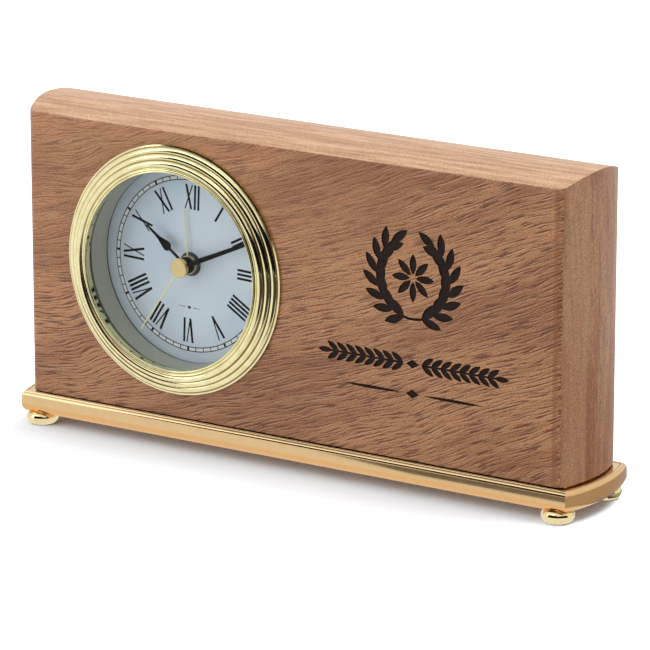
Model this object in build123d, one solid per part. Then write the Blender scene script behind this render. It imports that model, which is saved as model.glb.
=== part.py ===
from build123d import *
import math
import os

# Wooden desk clock: a shaped wood block with a round quartz alarm insert, on a moulded brass plinth with feet.
# Millimetres. The dial looks along -Y, +X is to the right, +Z is up.
# The origin is the bottom centre of the whole clock, between the four feet.

os.makedirs("parts", exist_ok=True)

# Driving sizes of the block
block_face_width = 190.0
block_face_height = 89.35
block_depth = 32.5
block_bulge = 3.4
block_upright_edge_radius = 2.5
block_top_edge_radius = 0.6

# Driving sizes of the plinth and the feet
plinth_height = 6.9
plinth_front_overhang = 2.1
plinth_end_overhang = 3.4
foot_height = 4.1
foot_radius = 5.0
foot_end_inset = 1.5
foot_front_inset = 2.3

# Driving sizes of the clock insert
clock_offset = -40.9
insert_turn = 2.3
bezel_radius = 39.0
bezel_below_share = 0.652
bezel_reach = 4.0
opening_radius = 30.9
bore_radius = 35.0
dial_depth = 8.6
cover_recess = 0.8

# Clearances
running_clearance = 0.08
fit_clearance = 0.2
overrun = 1.0

# Heights of the stack, from the surface that the clock stands on
plinth_bottom = foot_height
block_bottom = plinth_bottom + plinth_height
face_y = -block_depth / 2
clock_rise = bezel_radius + (block_face_height - 2 * bezel_radius) * bezel_below_share
clock_height = block_bottom + clock_rise


def save(node, shape):
    """Write one named piece."""
    export_step(shape, f"parts/{node}.step")


def outline(*pieces):
    """Closed flat face from joined lines and arcs."""
    return make_face(pieces)


def polar(radius, angle):
    """Point at a radius and an angle in radians."""
    return (radius * math.cos(angle), radius * math.sin(angle))


# The block and the ornament burnt into it

def block_body():
    """Block with a swelling top and ends that meet in mitres, before it is bored."""
    half_width = block_face_width / 2
    half_depth = block_depth / 2
    plan = outline(
        Line((-half_width, -half_depth), (half_width, -half_depth)),
        ThreePointArc((half_width, -half_depth), (half_width + block_bulge, 0), (half_width, half_depth)),
        Line((half_width, half_depth), (-half_width, half_depth)),
        ThreePointArc((-half_width, half_depth), (-half_width - block_bulge, 0), (-half_width, -half_depth)),
    )
    plan = fillet(plan.vertices(), block_upright_edge_radius)
    standing = extrude(plan, block_face_height + block_bulge)
    profile = outline(
        Line((-half_depth, block_face_height), (-half_depth, 0)),
        Line((-half_depth, 0), (half_depth, 0)),
        Line((half_depth, 0), (half_depth, block_face_height)),
        ThreePointArc(
            (half_depth, block_face_height),
            (0, block_face_height + block_bulge),
            (-half_depth, block_face_height),
        ),
    )
    top_corners = profile.vertices().sort_by(Axis.Y)[-2:]
    profile = fillet(top_corners, block_top_edge_radius)
    lying = extrude(Plane.YZ * profile, half_width + block_bulge + overrun, both=True)
    return Pos(0, 0, block_bottom) * (standing & lying)


burn_depth = 0.4
leaf_sink = 0.8
ornament_x = 44.6
wreath_rise_share = 0.627
wreath_radius = 12.5
wreath_stem_width = 0.8
wreath_leaf_length = 7.2
wreath_leaf_width = 2.7
wreath_leaf_pairs = 7
wreath_start_angle = 14.0
wreath_end_angle = 146.0
wreath_leaf_splay = 32.0
rosette_petal_length = 6.4
rosette_petal_width = 2.4
rosette_hub_gap = 1.0
rosette_petals = 8
garland_rise_share = 0.3335
garland_length = 68.0
garland_stem_width = 0.7
garland_leaf_length = 5.0
garland_leaf_width = 1.8
garland_leaf_pairs = 8
garland_leaf_splay = 34.0
rule_rise_share = 0.2305
rule_length = 50.0
rule_width = 1.0
lozenge_length = 4.6
lozenge_width = 2.8
lozenge_gap = 0.9


def leaf(length, width):
    """Pointed leaf that starts at the origin and points along +X."""
    return outline(
        ThreePointArc((0, 0), (length / 2, width / 2), (length, 0)),
        ThreePointArc((length, 0), (length / 2, -width / 2), (0, 0)),
    )


def leaf_at(x, y, heading, length, width):
    """Leaf at a place, turned to its heading in degrees."""
    return Pos(x, y) * Rot(0, 0, heading) * leaf(length, width)


def wreath():
    """Two laurel sprigs that rise from the bottom and nearly meet at the top."""
    shapes = []
    for side in (1, -1):
        for pair in range(wreath_leaf_pairs):
            step = (wreath_end_angle - wreath_start_angle) / wreath_leaf_pairs
            angle = -90 + side * (wreath_start_angle + step * pair)
            x, y = polar(wreath_radius, math.radians(angle))
            along = angle + side * 90
            for splay in (wreath_leaf_splay, -wreath_leaf_splay):
                shapes.append(leaf_at(x, y, along + splay, wreath_leaf_length, wreath_leaf_width))
        tip = -90 + side * wreath_end_angle
        sunk = tip - side * math.degrees(leaf_sink / wreath_radius)
        x, y = polar(wreath_radius, math.radians(sunk))
        shapes.append(leaf_at(x, y, sunk + side * 90, wreath_leaf_length, wreath_leaf_width))
        first = math.radians(-90)
        last = math.radians(tip)
        middle = (first + last) / 2
        outer = wreath_radius + wreath_stem_width / 2
        inner = wreath_radius - wreath_stem_width / 2
        stem = outline(
            ThreePointArc(polar(outer, first), polar(outer, middle), polar(outer, last)),
            Line(polar(outer, last), polar(inner, last)),
            ThreePointArc(polar(inner, last), polar(inner, middle), polar(inner, first)),
            Line(polar(inner, first), polar(outer, first)),
        )
        shapes.append(stem)
    return shapes


def rosette():
    """Eight petals round an empty hub."""
    shapes = []
    for index in range(rosette_petals):
        heading = index * 360 / rosette_petals
        x, y = polar(rosette_hub_gap, math.radians(heading))
        shapes.append(leaf_at(x, y, heading, rosette_petal_length, rosette_petal_width))
    return shapes


def lozenge():
    """Diamond between two tapering strokes."""
    half_length = lozenge_length / 2
    half_width = lozenge_width / 2
    return Polygon((half_length, 0), (0, half_width), (-half_length, 0), (0, -half_width), align=None)


def garland():
    """Straight stem with paired leaves that point away from a diamond in the middle."""
    shapes = [lozenge()]
    for side in (1, -1):
        start = lozenge_length / 2 + lozenge_gap
        reach = garland_length / 2 - garland_leaf_length
        stem_length = reach - start
        stem = Pos(side * (start + stem_length / 2), 0) * Rectangle(stem_length, garland_stem_width)
        shapes.append(stem)
        heading = 0 if side > 0 else 180
        for pair in range(garland_leaf_pairs):
            x = side * (start + stem_length * pair / garland_leaf_pairs)
            for splay in (garland_leaf_splay, -garland_leaf_splay):
                shapes.append(leaf_at(x, 0, heading + splay, garland_leaf_length, garland_leaf_width))
        tip_start = side * (reach - leaf_sink)
        shapes.append(leaf_at(tip_start, 0, heading, garland_leaf_length, garland_leaf_width))
    return shapes


def rule():
    """Two tapering strokes with a diamond between them."""
    stroke_length = (rule_length - lozenge_length) / 2 - lozenge_gap
    start = lozenge_length / 2 + lozenge_gap
    return [
        lozenge(),
        leaf_at(start, 0, 0, stroke_length, rule_width),
        leaf_at(-start, 0, 180, stroke_length, rule_width),
    ]


def ornament_cutter(shapes, rise):
    """Solids that sink flat shapes into the front face."""
    face = Plane(
        origin=(ornament_x, face_y + burn_depth, block_bottom + rise), x_dir=(1, 0, 0), z_dir=(0, -1, 0)
    )
    merged = Sketch() + shapes
    return extrude(face.location * merged, burn_depth + overrun)


plinth_screw_span = 124.0
plinth_screw_radius = 1.75
plinth_screw_head_radius = 3.6
plinth_screw_head_height = 2.4
plinth_screw_grip = 9.0


def wood_block():
    """Block with its through bore, its burnt ornament and two pilot holes."""
    body = block_body()
    upward = (Align.CENTER, Align.CENTER, Align.MIN)
    bore_length = block_depth + 2 * overrun
    bore = Rot(90, 0, 0) * Cylinder(bore_radius, bore_length)
    body -= Pos(clock_offset, 0, clock_height) * bore
    figures = (
        (wreath(), wreath_rise_share),
        (rosette(), wreath_rise_share),
        (garland(), garland_rise_share),
        (rule(), rule_rise_share),
    )
    for shapes, share in figures:
        body -= ornament_cutter(shapes, block_face_height * share)
    for side in (1, -1):
        pilot = Cylinder(plinth_screw_radius, plinth_screw_grip, align=upward)
        body -= Pos(side * plinth_screw_span / 2, 0, block_bottom) * pilot
    return body


save("wood_block", wood_block())

# The plinth: one moulding profile runs round a plan with straight sides and bowed ends

pad_inset = 1.2
ledge_drop = 0.5
groove_depth = 0.25
groove_width = 0.3
bead_width = 0.85
bead_rise = 0.15
bead_joint_share = 0.7
bead_drop = 0.3
shoulder_width = 0.75
face_top_drop = 1.9
face_lean = 0.1
nose_drop = 4.3
foot_line_inset = 1.3
moulding_width = 8.0
lower_swell_shares = (0.32, 0.62)
shoulder_swell_shares = (0.30, 0.34)


def moulding(place):
    """Outer surface of the plinth, from its pad down to its underside; place gives the way out."""
    pad = plinth_end_overhang + pad_inset
    groove_out = shoulder_width + bead_width
    bead_out = shoulder_width
    ledge = plinth_height - ledge_drop
    bead_foot = ledge - bead_drop
    face_top = plinth_height - face_top_drop
    nose = plinth_height - nose_drop
    lower_in = foot_line_inset * lower_swell_shares[0]
    lower_level = nose * (1 - lower_swell_shares[1])
    shoulder_in = face_lean + (bead_out - face_lean) * shoulder_swell_shares[0]
    shoulder_level = bead_foot - (bead_foot - face_top) * shoulder_swell_shares[1]
    groove_middle = groove_out + groove_width / 2
    bead = ThreePointArc(
        place(groove_out, ledge), place(bead_out + bead_width / 2, ledge + bead_rise), place(bead_out, bead_foot)
    )
    return [
        Line(place(pad, plinth_height), place(pad, ledge)),
        Line(place(pad, ledge), place(groove_out + groove_width, ledge)),
        Line(place(groove_out + groove_width, ledge), place(groove_middle, ledge - groove_depth)),
        Line(place(groove_middle, ledge - groove_depth), place(groove_out, ledge)),
        bead.trim(0, bead_joint_share),
        bead.trim(bead_joint_share, 1),
        ThreePointArc(
            place(bead_out, bead_foot), place(shoulder_in, shoulder_level), place(face_lean, face_top)
        ),
        Line(place(face_lean, face_top), place(0, nose)),
        ThreePointArc(place(0, nose), place(lower_in, lower_level), place(foot_line_inset, 0)),
    ]


def bowed_plan(inset):
    """Line and arc pieces of the plinth's plan, drawn in from its widest outline; they start mid front."""
    half_depth = block_depth / 2 + plinth_front_overhang
    end_x = block_face_width / 2 + plinth_end_overhang + block_bulge
    bow_radius = (half_depth**2 + block_bulge**2) / (2 * block_bulge)
    radius = bow_radius - inset
    y = half_depth - inset
    x = end_x - bow_radius + math.sqrt(radius**2 - y**2)
    return [
        Line((0, -y, 0), (x, -y, 0)),
        ThreePointArc((x, -y, 0), (end_x - inset, 0, 0), (x, y, 0)),
        Line((x, y, 0), (-x, y, 0)),
        ThreePointArc((-x, y, 0), (inset - end_x, 0, 0), (-x, -y, 0)),
        Line((-x, -y, 0), (0, -y, 0)),
    ]


def plinth_body():
    """Moulding swept round the plan with mitred corners, and the solid core inside it."""
    half_depth = block_depth / 2 + plinth_front_overhang
    pad = plinth_end_overhang + pad_inset
    section = outline(
        *moulding(lambda inset, level: (inset, level)),
        Line((pad, plinth_height), (moulding_width, plinth_height)),
        Line((moulding_width, plinth_height), (moulding_width, 0)),
        Line((moulding_width, 0), (foot_line_inset, 0)),
    )
    start = Plane(origin=(0, -half_depth, 0), x_dir=(0, 1, 0), z_dir=(1, 0, 0))
    border = sweep(start.location * section, path=Wire(bowed_plan(0)), transition=Transition.RIGHT)
    core = extrude(make_face(bowed_plan((pad + moulding_width) / 2)), plinth_height)
    return border + core


foot_stud_radius = 1.5
foot_stud_length = 4.0
foot_top_radius = 3.7
foot_belly_height = 2.5
foot_sole_radius = 2.8
foot_curve_share = 0.80


def foot_places():
    """Name and plan position of each foot."""
    x = block_face_width / 2 - foot_end_inset
    y = block_depth / 2 - foot_front_inset
    return (
        ("foot_front_left", -x, -y),
        ("foot_front_right", x, -y),
        ("foot_rear_left", -x, y),
        ("foot_rear_right", x, y),
    )


def plinth():
    """Plinth with screw holes up into the block and a tapped hole over each foot."""
    body = Pos(0, 0, plinth_bottom) * plinth_body()
    upward = (Align.CENTER, Align.CENTER, Align.MIN)
    for side in (1, -1):
        x = side * plinth_screw_span / 2
        through = Cylinder(plinth_screw_radius + running_clearance, plinth_height + overrun, align=upward)
        sink = Cylinder(
            plinth_screw_head_radius + fit_clearance, plinth_screw_head_height + overrun, align=upward
        )
        body -= Pos(x, 0, plinth_bottom) * through
        body -= Pos(x, 0, plinth_bottom - overrun) * sink
    for _, x, y in foot_places():
        body -= Pos(x, y, plinth_bottom) * Cylinder(foot_stud_radius, foot_stud_length, align=upward)
    return body


def foot():
    """Button foot with a domed side and an upright stud."""
    low_level = foot_belly_height * (1 - foot_curve_share)
    high_level = foot_height - (foot_height - foot_belly_height) * (1 - foot_curve_share)
    high_radius = foot_top_radius + (foot_radius - foot_top_radius) * foot_curve_share / 2
    low_radius = foot_sole_radius + (foot_radius - foot_sole_radius) * foot_curve_share * foot_curve_share
    top = foot_height + foot_stud_length
    profile = outline(
        Line((0, 0), (foot_sole_radius, 0)),
        ThreePointArc((foot_sole_radius, 0), (low_radius, low_level), (foot_radius, foot_belly_height)),
        ThreePointArc(
            (foot_radius, foot_belly_height), (high_radius, high_level), (foot_top_radius, foot_height)
        ),
        Line((foot_top_radius, foot_height), (foot_stud_radius, foot_height)),
        Line((foot_stud_radius, foot_height), (foot_stud_radius, top)),
        Line((foot_stud_radius, top), (0, top)),
        Line((0, top), (0, 0)),
    )
    return revolve(Plane.XZ * profile, Axis.Z)


def plinth_screws():
    """Two pan head wood screws, driven up through the plinth."""
    upward = (Align.CENTER, Align.CENTER, Align.MIN)
    screws = []
    for side in (1, -1):
        shank_length = plinth_height - plinth_screw_head_height + plinth_screw_grip - fit_clearance
        head = Cylinder(plinth_screw_head_radius, plinth_screw_head_height, align=upward)
        shank = Cylinder(plinth_screw_radius, shank_length, align=upward)
        screw = head + Pos(0, 0, plinth_screw_head_height) * shank
        screws.append(Pos(side * plinth_screw_span / 2, 0, plinth_bottom) * screw)
    return Compound(children=screws)


save("plinth", plinth())
save("plinth_screws", plinth_screws())
for foot_name, foot_x, foot_y in foot_places():
    save(foot_name, Pos(foot_x, foot_y, 0) * foot())

# The insert is built about its own axis: depth runs back from the wood face, up is up,
# and the first coordinate runs to the left as seen from the front, so to the right from behind.
# A positive turn is clockwise as seen from the front.

insert_plane = Plane(origin=(clock_offset, face_y, clock_height), x_dir=(-1, 0, 0), z_dir=(0, 1, 0))
insert = insert_plane.location * Rot(0, 0, insert_turn)


def save_insert(node, shape):
    """Write one piece of the insert, moved from its own axis into the clock."""
    save(node, insert * shape)


def rod(radius, front, back, x=0, y=0):
    """Round bar between two depths."""
    bar = Cylinder(radius, back - front, align=(Align.CENTER, Align.CENTER, Align.MIN))
    return Pos(x, y, front) * bar


def ring(outer, inner, front, back):
    """Round tube between two depths."""
    return rod(outer, front, back) - rod(inner, front - overrun, back + overrun)


def slab(width, height, front, back, x=0, y=0):
    """Rectangular bar between two depths."""
    bar = Box(width, height, back - front, align=(Align.CENTER, Align.CENTER, Align.MIN))
    return Pos(x, y, front) * bar


# Depths that the pieces of the insert share
lens_thickness = 1.5
lens_front = -1.3
lens_back = lens_front + lens_thickness
lens_radius = 32.2
drum_gap = 0.4
drum_wall = 1.4
drum_radius = bore_radius - drum_gap
drum_inner_radius = drum_radius - drum_wall
collar_length = 4.0
collar_wall = 0.8
dial_thickness = 0.5
dial_back = dial_depth + dial_thickness
plate_thickness = 1.2
plate_back = dial_back + plate_thickness
cover_thickness = 1.5
cover_back = block_depth - cover_recess
cover_front = cover_back - cover_thickness
knob_end = block_depth + bezel_reach

# The bezel: three rolls that climb inwards, a narrow cove and a beaded lip

rim_thickness = 0.8
roll_edges = (38.4, 36.5, 34.6, 32.6)
roll_depths = (-0.9, -1.9, -2.8, -3.6)
roll_crest_depths = (-2.0, -2.95, -4.0)
roll_crest_share = 0.55
cove_depth = -3.15
cove_share = 0.45
lip_outer_radius = 31.5
lip_outer_depth = -3.45
lip_crest_depth = -3.75
lip_back_depth = -3.3


def bezel():
    """Turned brass ring with a collar that runs back into the drum."""
    pieces = [
        Line((bezel_radius, 0), (bezel_radius, -rim_thickness)),
        Line((bezel_radius, -rim_thickness), (roll_edges[0], roll_depths[0])),
    ]
    for index, crest in enumerate(roll_crest_depths):
        start = (roll_edges[index], roll_depths[index])
        end = (roll_edges[index + 1], roll_depths[index + 1])
        crest_radius = start[0] + (end[0] - start[0]) * roll_crest_share
        pieces.append(ThreePointArc(start, (crest_radius, crest), end))
    cove_start = (roll_edges[-1], roll_depths[-1])
    cove_end = (lip_outer_radius, lip_outer_depth)
    cove_radius = cove_start[0] + (cove_end[0] - cove_start[0]) * cove_share
    pieces.append(ThreePointArc(cove_start, (cove_radius, cove_depth), cove_end))
    lip_end = (opening_radius, lip_back_depth)
    lip_middle = (lip_outer_radius + opening_radius) / 2
    pieces.append(ThreePointArc(cove_end, (lip_middle, lip_crest_depth), lip_end))
    seat_radius = lens_radius + fit_clearance / 2
    collar_outer = drum_inner_radius + collar_wall
    pieces += [
        Line(lip_end, (opening_radius, lens_front)),
        Line((opening_radius, lens_front), (seat_radius, lens_front)),
        Line((seat_radius, lens_front), (seat_radius, lens_back)),
        Line((seat_radius, lens_back), (drum_inner_radius, lens_back)),
        Line((drum_inner_radius, lens_back), (drum_inner_radius, collar_length)),
        Line((drum_inner_radius, collar_length), (collar_outer, collar_length)),
        Line((collar_outer, collar_length), (collar_outer, 0)),
        Line((collar_outer, 0), (bezel_radius, 0)),
    ]
    return revolve(Plane.XZ * outline(*pieces), Axis.Z)


save_insert("bezel", bezel())
save_insert("lens", rod(lens_radius, lens_front, lens_back))

reflector_inner_radius = 31.2
reflector_wall = 0.9
reflector_flange = 1.0
reflector_radius = drum_inner_radius - fit_clearance / 2


def reflector_ring():
    """Thin deep wall between lens and dial, with a flange at each end."""
    outer = reflector_inner_radius + reflector_wall
    wall = ring(outer, reflector_inner_radius, lens_back, dial_depth)
    front_flange = ring(reflector_radius, reflector_inner_radius, lens_back, lens_back + reflector_flange)
    back_flange = ring(reflector_radius, reflector_inner_radius, dial_depth - reflector_flange, dial_depth)
    return wall + front_flange + back_flange


dial_hole_radius = 3.8
save_insert("reflector_ring", reflector_ring())
save_insert("dial", ring(reflector_radius, dial_hole_radius, dial_depth, dial_back))

# The drum, its gasket and its cover

drum_front = 0.2
gasket_front = 12.0
gasket_length = 8.0
gasket_gap = 0.02
boss_radius = 2.6
boss_length = 8.0
cover_screw_radius = 1.0
cover_screw_head_radius = 2.0
cover_screw_head_height = 0.9
cover_screw_length = 6.0
boss_angles = (90.0, 176.0, 4.0)
boss_sink = 0.8
boss_circle = drum_inner_radius - boss_radius + boss_sink


def boss_places():
    """Places of the three screw bosses on the drum's wall."""
    return [polar(boss_circle, math.radians(angle)) for angle in boss_angles]


def drum():
    """Can of the insert, lapped over the bezel's collar, with screw bosses at its back."""
    lap_radius = drum_inner_radius + collar_wall + gasket_gap
    body = ring(drum_radius, drum_inner_radius, drum_front, cover_front)
    body -= rod(lap_radius, drum_front - overrun, collar_length + fit_clearance)
    for x, y in boss_places():
        boss = rod(boss_radius, cover_front - boss_length, cover_front, x, y)
        outside = ring(bore_radius + boss_radius, drum_inner_radius, cover_front - boss_length, cover_front)
        body += boss - outside
        body -= rod(cover_screw_radius, cover_front - cover_screw_length, cover_front + overrun, x, y)
    return body


save_insert("drum", drum())
gasket_back = gasket_front + gasket_length
gasket = ring(bore_radius - gasket_gap, drum_radius + gasket_gap, gasket_front, gasket_back)
save_insert("bore_gasket", gasket)

# Teeth: flanks are radial up to the pitch circle and taper to a narrow tip above it

wheel_tooth_share = 0.44
pinion_tooth_share = 0.40
wheel_addendum_share = 0.85
pinion_addendum_share = 0.70
dedendum_share = 1.25
tip_height_shares = (0.55, 1.0)
tip_width_shares = (0.78, 0.30)


def tooth_outline(teeth, module, phase, pinion):
    """Closed outline of a gear; phase is the direction of one tooth's middle in degrees."""
    pitch_radius = teeth * module / 2
    tooth_share = pinion_tooth_share if pinion else wheel_tooth_share
    half_tooth = tooth_share * math.pi / teeth
    addendum = module * (pinion_addendum_share if pinion else wheel_addendum_share)
    flank = [(pitch_radius - dedendum_share * module, half_tooth), (pitch_radius, half_tooth)]
    for height_share, width_share in zip(tip_height_shares, tip_width_shares):
        flank.append((pitch_radius + addendum * height_share, half_tooth * width_share))
    points = []
    for tooth in range(teeth):
        middle = math.radians(phase) + 2 * math.pi * tooth / teeth
        points += [polar(radius, middle - half) for radius, half in flank]
        points += [polar(radius, middle + half) for radius, half in reversed(flank)]
    return points


def gear(teeth, module, phase, front, back, x=0, y=0, pinion=False):
    """Toothed disc between two depths."""
    points = tooth_outline(teeth, module, phase, pinion)
    face = make_face(Polyline(*points, close=True))
    return Pos(x, y, front) * extrude(face, back - front)


def meshed_phase(teeth, phase, other_teeth, direction):
    """Phase that puts a tooth gap of the other gear, which lies in this direction, on a tooth of this one."""
    pitch = 360 / teeth
    other_pitch = 360 / other_teeth
    fraction = ((direction - phase) / pitch) % 1
    return direction + 180 - other_pitch * (1 / 2 - fraction)


def away(x, y, distance, direction):
    """Point at a distance and a direction in degrees from another."""
    step_x, step_y = polar(distance, math.radians(direction))
    return (x + step_x, y + step_y)


# Tooth counts: the rotor turns thirty times a minute, the centre gear once an hour,
# and the hour wheel once in twelve hours
rotor_teeth = 6
intermediate_wheel_teeth = 36
intermediate_pinion_teeth = 6
seconds_wheel_teeth = 30
seconds_pinion_teeth = 6
third_wheel_teeth = 45
third_pinion_teeth = 6
center_teeth = 48
cannon_teeth = 8
minute_wheel_teeth = 24
minute_pinion_teeth = 8
hour_teeth = 32
time_pinion_teeth = 8
alarm_teeth = 32
alarm_pinion_teeth = 8

# Centre distances, and the directions in which the arbors lie from each other
intermediate_distance = 9.6
intermediate_direction = 135.0
rotor_distance = 7.0
rotor_direction = 167.0
third_distance = 9.2
third_direction = 52.5
motion_distance = 9.6
motion_direction = -11.4
time_direction = 5.0
alarm_distance = 10.0
alarm_turn = 63.0

# Modules follow from the distances and the counts
rotor_module = 2 * rotor_distance / (rotor_teeth + intermediate_wheel_teeth)
seconds_module = 2 * intermediate_distance / (intermediate_pinion_teeth + seconds_wheel_teeth)
third_module = 2 * third_distance / (seconds_pinion_teeth + third_wheel_teeth)
center_module = 2 * third_distance / (third_pinion_teeth + center_teeth)
cannon_module = 2 * motion_distance / (cannon_teeth + minute_wheel_teeth)
hour_module = 2 * motion_distance / (minute_pinion_teeth + hour_teeth)
alarm_module = 2 * alarm_distance / (alarm_pinion_teeth + alarm_teeth)
time_distance = cannon_module * (minute_wheel_teeth + time_pinion_teeth) / 2

# Places of the arbors; the alarm's lies a fixed turn round the dial centre from the intermediate one
alarm_direction = intermediate_direction + alarm_turn
intermediate_x, intermediate_y = away(0, 0, intermediate_distance, intermediate_direction)
rotor_x, rotor_y = away(intermediate_x, intermediate_y, rotor_distance, rotor_direction)
third_x, third_y = away(0, 0, third_distance, third_direction)
motion_x, motion_y = away(0, 0, motion_distance, motion_direction)
time_x, time_y = away(motion_x, motion_y, time_distance, time_direction)
alarm_x, alarm_y = away(0, 0, alarm_distance, alarm_direction)

# Depths of the layers, from the front plate back
layer_gap = 0.3
thin_wheel = 0.7
wheel_thickness = 0.8
mesh_overlap = 0.2
cannon_pinion_length = 1.2
washer_space = 0.6
keeper_gap = 0.1
keeper_thickness = 0.4
bearing_thickness = 1.0
pivot_depth = 0.9
alarm_wheel_front = plate_back + layer_gap
alarm_wheel_back = alarm_wheel_front + wheel_thickness
hour_wheel_front = alarm_wheel_back + layer_gap + mesh_overlap
hour_wheel_back = hour_wheel_front + wheel_thickness
cannon_front = hour_wheel_back + layer_gap
cannon_back = cannon_front + cannon_pinion_length
washer_back = cannon_back + washer_space
center_front = washer_back
center_back = center_front + wheel_thickness
keeper_front = center_back + keeper_gap
keeper_back = keeper_front + keeper_thickness
seconds_pinion_front = keeper_back + layer_gap
third_wheel_front = seconds_pinion_front + mesh_overlap
third_wheel_back = third_wheel_front + thin_wheel
seconds_pinion_back = third_wheel_back + mesh_overlap
seconds_wheel_front = seconds_pinion_back + layer_gap
seconds_wheel_back = seconds_wheel_front + thin_wheel
intermediate_wheel_front = seconds_wheel_back + 2 * layer_gap
intermediate_wheel_back = intermediate_wheel_front + thin_wheel
bearing_front = intermediate_wheel_back + 2 * layer_gap
bearing_back = bearing_front + bearing_thickness

# Radii of the nested arbor and pipes
arbor_radius = 0.45
tube_wall = 0.55
cannon_inner = arbor_radius + running_clearance
cannon_radius = cannon_inner + tube_wall
hour_pipe_inner = cannon_radius + running_clearance
hour_pipe_radius = hour_pipe_inner + tube_wall
alarm_pipe_inner = hour_pipe_radius + running_clearance
alarm_pipe_radius = alarm_pipe_inner + tube_wall
bush_inner = alarm_pipe_radius + running_clearance
bush_radius = 3.5

# Depths of the hands, counted from the wood face
cap_front = 2.0
cap_thickness = 1.1
second_blade_front = 3.1
second_blade_back = 3.35
minute_boss_front = 3.8
minute_boss_back = 5.0
minute_blade_front = 4.4
minute_blade_back = 4.7
hour_boss_front = 5.4
hour_boss_back = 6.6
hour_blade_front = 5.9
hour_blade_back = 6.2
alarm_boss_front = 7.0
alarm_boss_back = 7.9
alarm_blade_front = 7.3
alarm_blade_back = 7.5
bush_front = 8.2

# Clock angles of the hands at rest: eleven minutes past ten and thirty five seconds, alarm just before twelve
hour_angle = 305.0
minute_angle = 64.0
second_angle = 212.5
alarm_angle = 353.0

# Phases, carried from gear to gear so that each pair is in mesh at rest
seconds_wheel_phase = 0.0
intermediate_pinion_phase = meshed_phase(
    seconds_wheel_teeth, seconds_wheel_phase, intermediate_pinion_teeth, intermediate_direction
)
intermediate_wheel_phase = 0.0
rotor_phase = meshed_phase(
    intermediate_wheel_teeth, intermediate_wheel_phase, rotor_teeth, rotor_direction
)
seconds_pinion_phase = 0.0
third_wheel_phase = meshed_phase(
    seconds_pinion_teeth, seconds_pinion_phase, third_wheel_teeth, third_direction
)
third_pinion_phase = 0.0
center_phase = meshed_phase(third_pinion_teeth, third_pinion_phase, center_teeth, third_direction + 180)
cannon_phase = 0.0
minute_wheel_phase = meshed_phase(cannon_teeth, cannon_phase, minute_wheel_teeth, motion_direction)
minute_pinion_phase = 0.0
hour_phase = meshed_phase(minute_pinion_teeth, minute_pinion_phase, hour_teeth, motion_direction + 180)
time_phase = meshed_phase(minute_wheel_teeth, minute_wheel_phase, time_pinion_teeth, time_direction)
alarm_phase = 0.0
alarm_pinion_phase = meshed_phase(alarm_teeth, alarm_phase, alarm_pinion_teeth, alarm_direction)

# Going train and stepping motor
front_pivot = plate_back - pivot_depth + layer_gap / 3
back_pivot = bearing_back - layer_gap / 3
magnet_radius = 2.9
magnet_length = 1.8
magnet_back = seconds_wheel_front + thin_wheel - mesh_overlap
magnet_front = magnet_back - magnet_length


def spindle(x, y):
    """Arbor between the front plate and the rear bearing plate."""
    return rod(arbor_radius, front_pivot, back_pivot, x, y)


def pinion_on(teeth, module, phase, front, back, x=0, y=0):
    """Pinion that reaches past its wheel on both sides."""
    return gear(teeth, module, phase, front - mesh_overlap, back + mesh_overlap, x, y, pinion=True)


def seconds_gear():
    """Seconds wheel and pinion on the long arbor that carries the second hand."""
    arbor = rod(arbor_radius, cap_front + cap_thickness, back_pivot)
    pinion = gear(
        seconds_pinion_teeth, third_module, seconds_pinion_phase,
        seconds_pinion_front, seconds_pinion_back, pinion=True
    )
    wheel = gear(
        seconds_wheel_teeth, seconds_module, seconds_wheel_phase, seconds_wheel_front, seconds_wheel_back
    )
    link = rod(arbor_radius * 2, seconds_pinion_back, seconds_wheel_front)
    return arbor + pinion + link + wheel


def intermediate_gear():
    """Wheel and pinion between the rotor and the seconds wheel."""
    x, y = intermediate_x, intermediate_y
    pinion = pinion_on(
        intermediate_pinion_teeth, seconds_module, intermediate_pinion_phase,
        seconds_wheel_front, seconds_wheel_back, x, y
    )
    wheel = gear(
        intermediate_wheel_teeth, rotor_module, intermediate_wheel_phase,
        intermediate_wheel_front, intermediate_wheel_back, x, y
    )
    return spindle(x, y) + pinion + wheel


def rotor():
    """Rotor arbor with its pinion; the magnet is a separate piece pressed on it."""
    pinion = pinion_on(
        rotor_teeth, rotor_module, rotor_phase,
        intermediate_wheel_front, intermediate_wheel_back, rotor_x, rotor_y
    )
    return spindle(rotor_x, rotor_y) + pinion


def rotor_magnet():
    """Round magnet with a hole for the rotor arbor."""
    magnet = rod(magnet_radius, magnet_front, magnet_back, rotor_x, rotor_y)
    return magnet - rod(arbor_radius, magnet_front - overrun, magnet_back + overrun, rotor_x, rotor_y)


def third_gear():
    """Wheel driven by the seconds pinion, with the pinion that drives the centre gear."""
    wheel = gear(
        third_wheel_teeth, third_module, third_wheel_phase,
        third_wheel_front, third_wheel_back, third_x, third_y
    )
    pinion = pinion_on(
        third_pinion_teeth, center_module, third_pinion_phase, center_front, center_back, third_x, third_y
    )
    return spindle(third_x, third_y) + wheel + pinion


def center_gear():
    """Gear that turns once an hour and slips on the cannon pinion's tube when the hands are set."""
    bore = cannon_radius + running_clearance
    wheel = gear(center_teeth, center_module, center_phase, center_front, center_back)
    return wheel - rod(bore, center_front - overrun, center_back + overrun)


washer_radius = 2.4


def clutch_washer():
    """Cupped friction washer between the cannon pinion and the centre gear, shown flat."""
    return ring(washer_radius, cannon_radius + running_clearance, cannon_back + running_clearance, washer_back)


save_insert("seconds_gear", seconds_gear())
save_insert("intermediate_gear", intermediate_gear())
save_insert("rotor", rotor())
save_insert("rotor_magnet", rotor_magnet())
save_insert("third_gear", third_gear())
save_insert("center_gear", center_gear())
save_insert("clutch_washer", clutch_washer())

# Motion work, alarm work and the setting shafts

keeper_radius = 1.9


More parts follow.
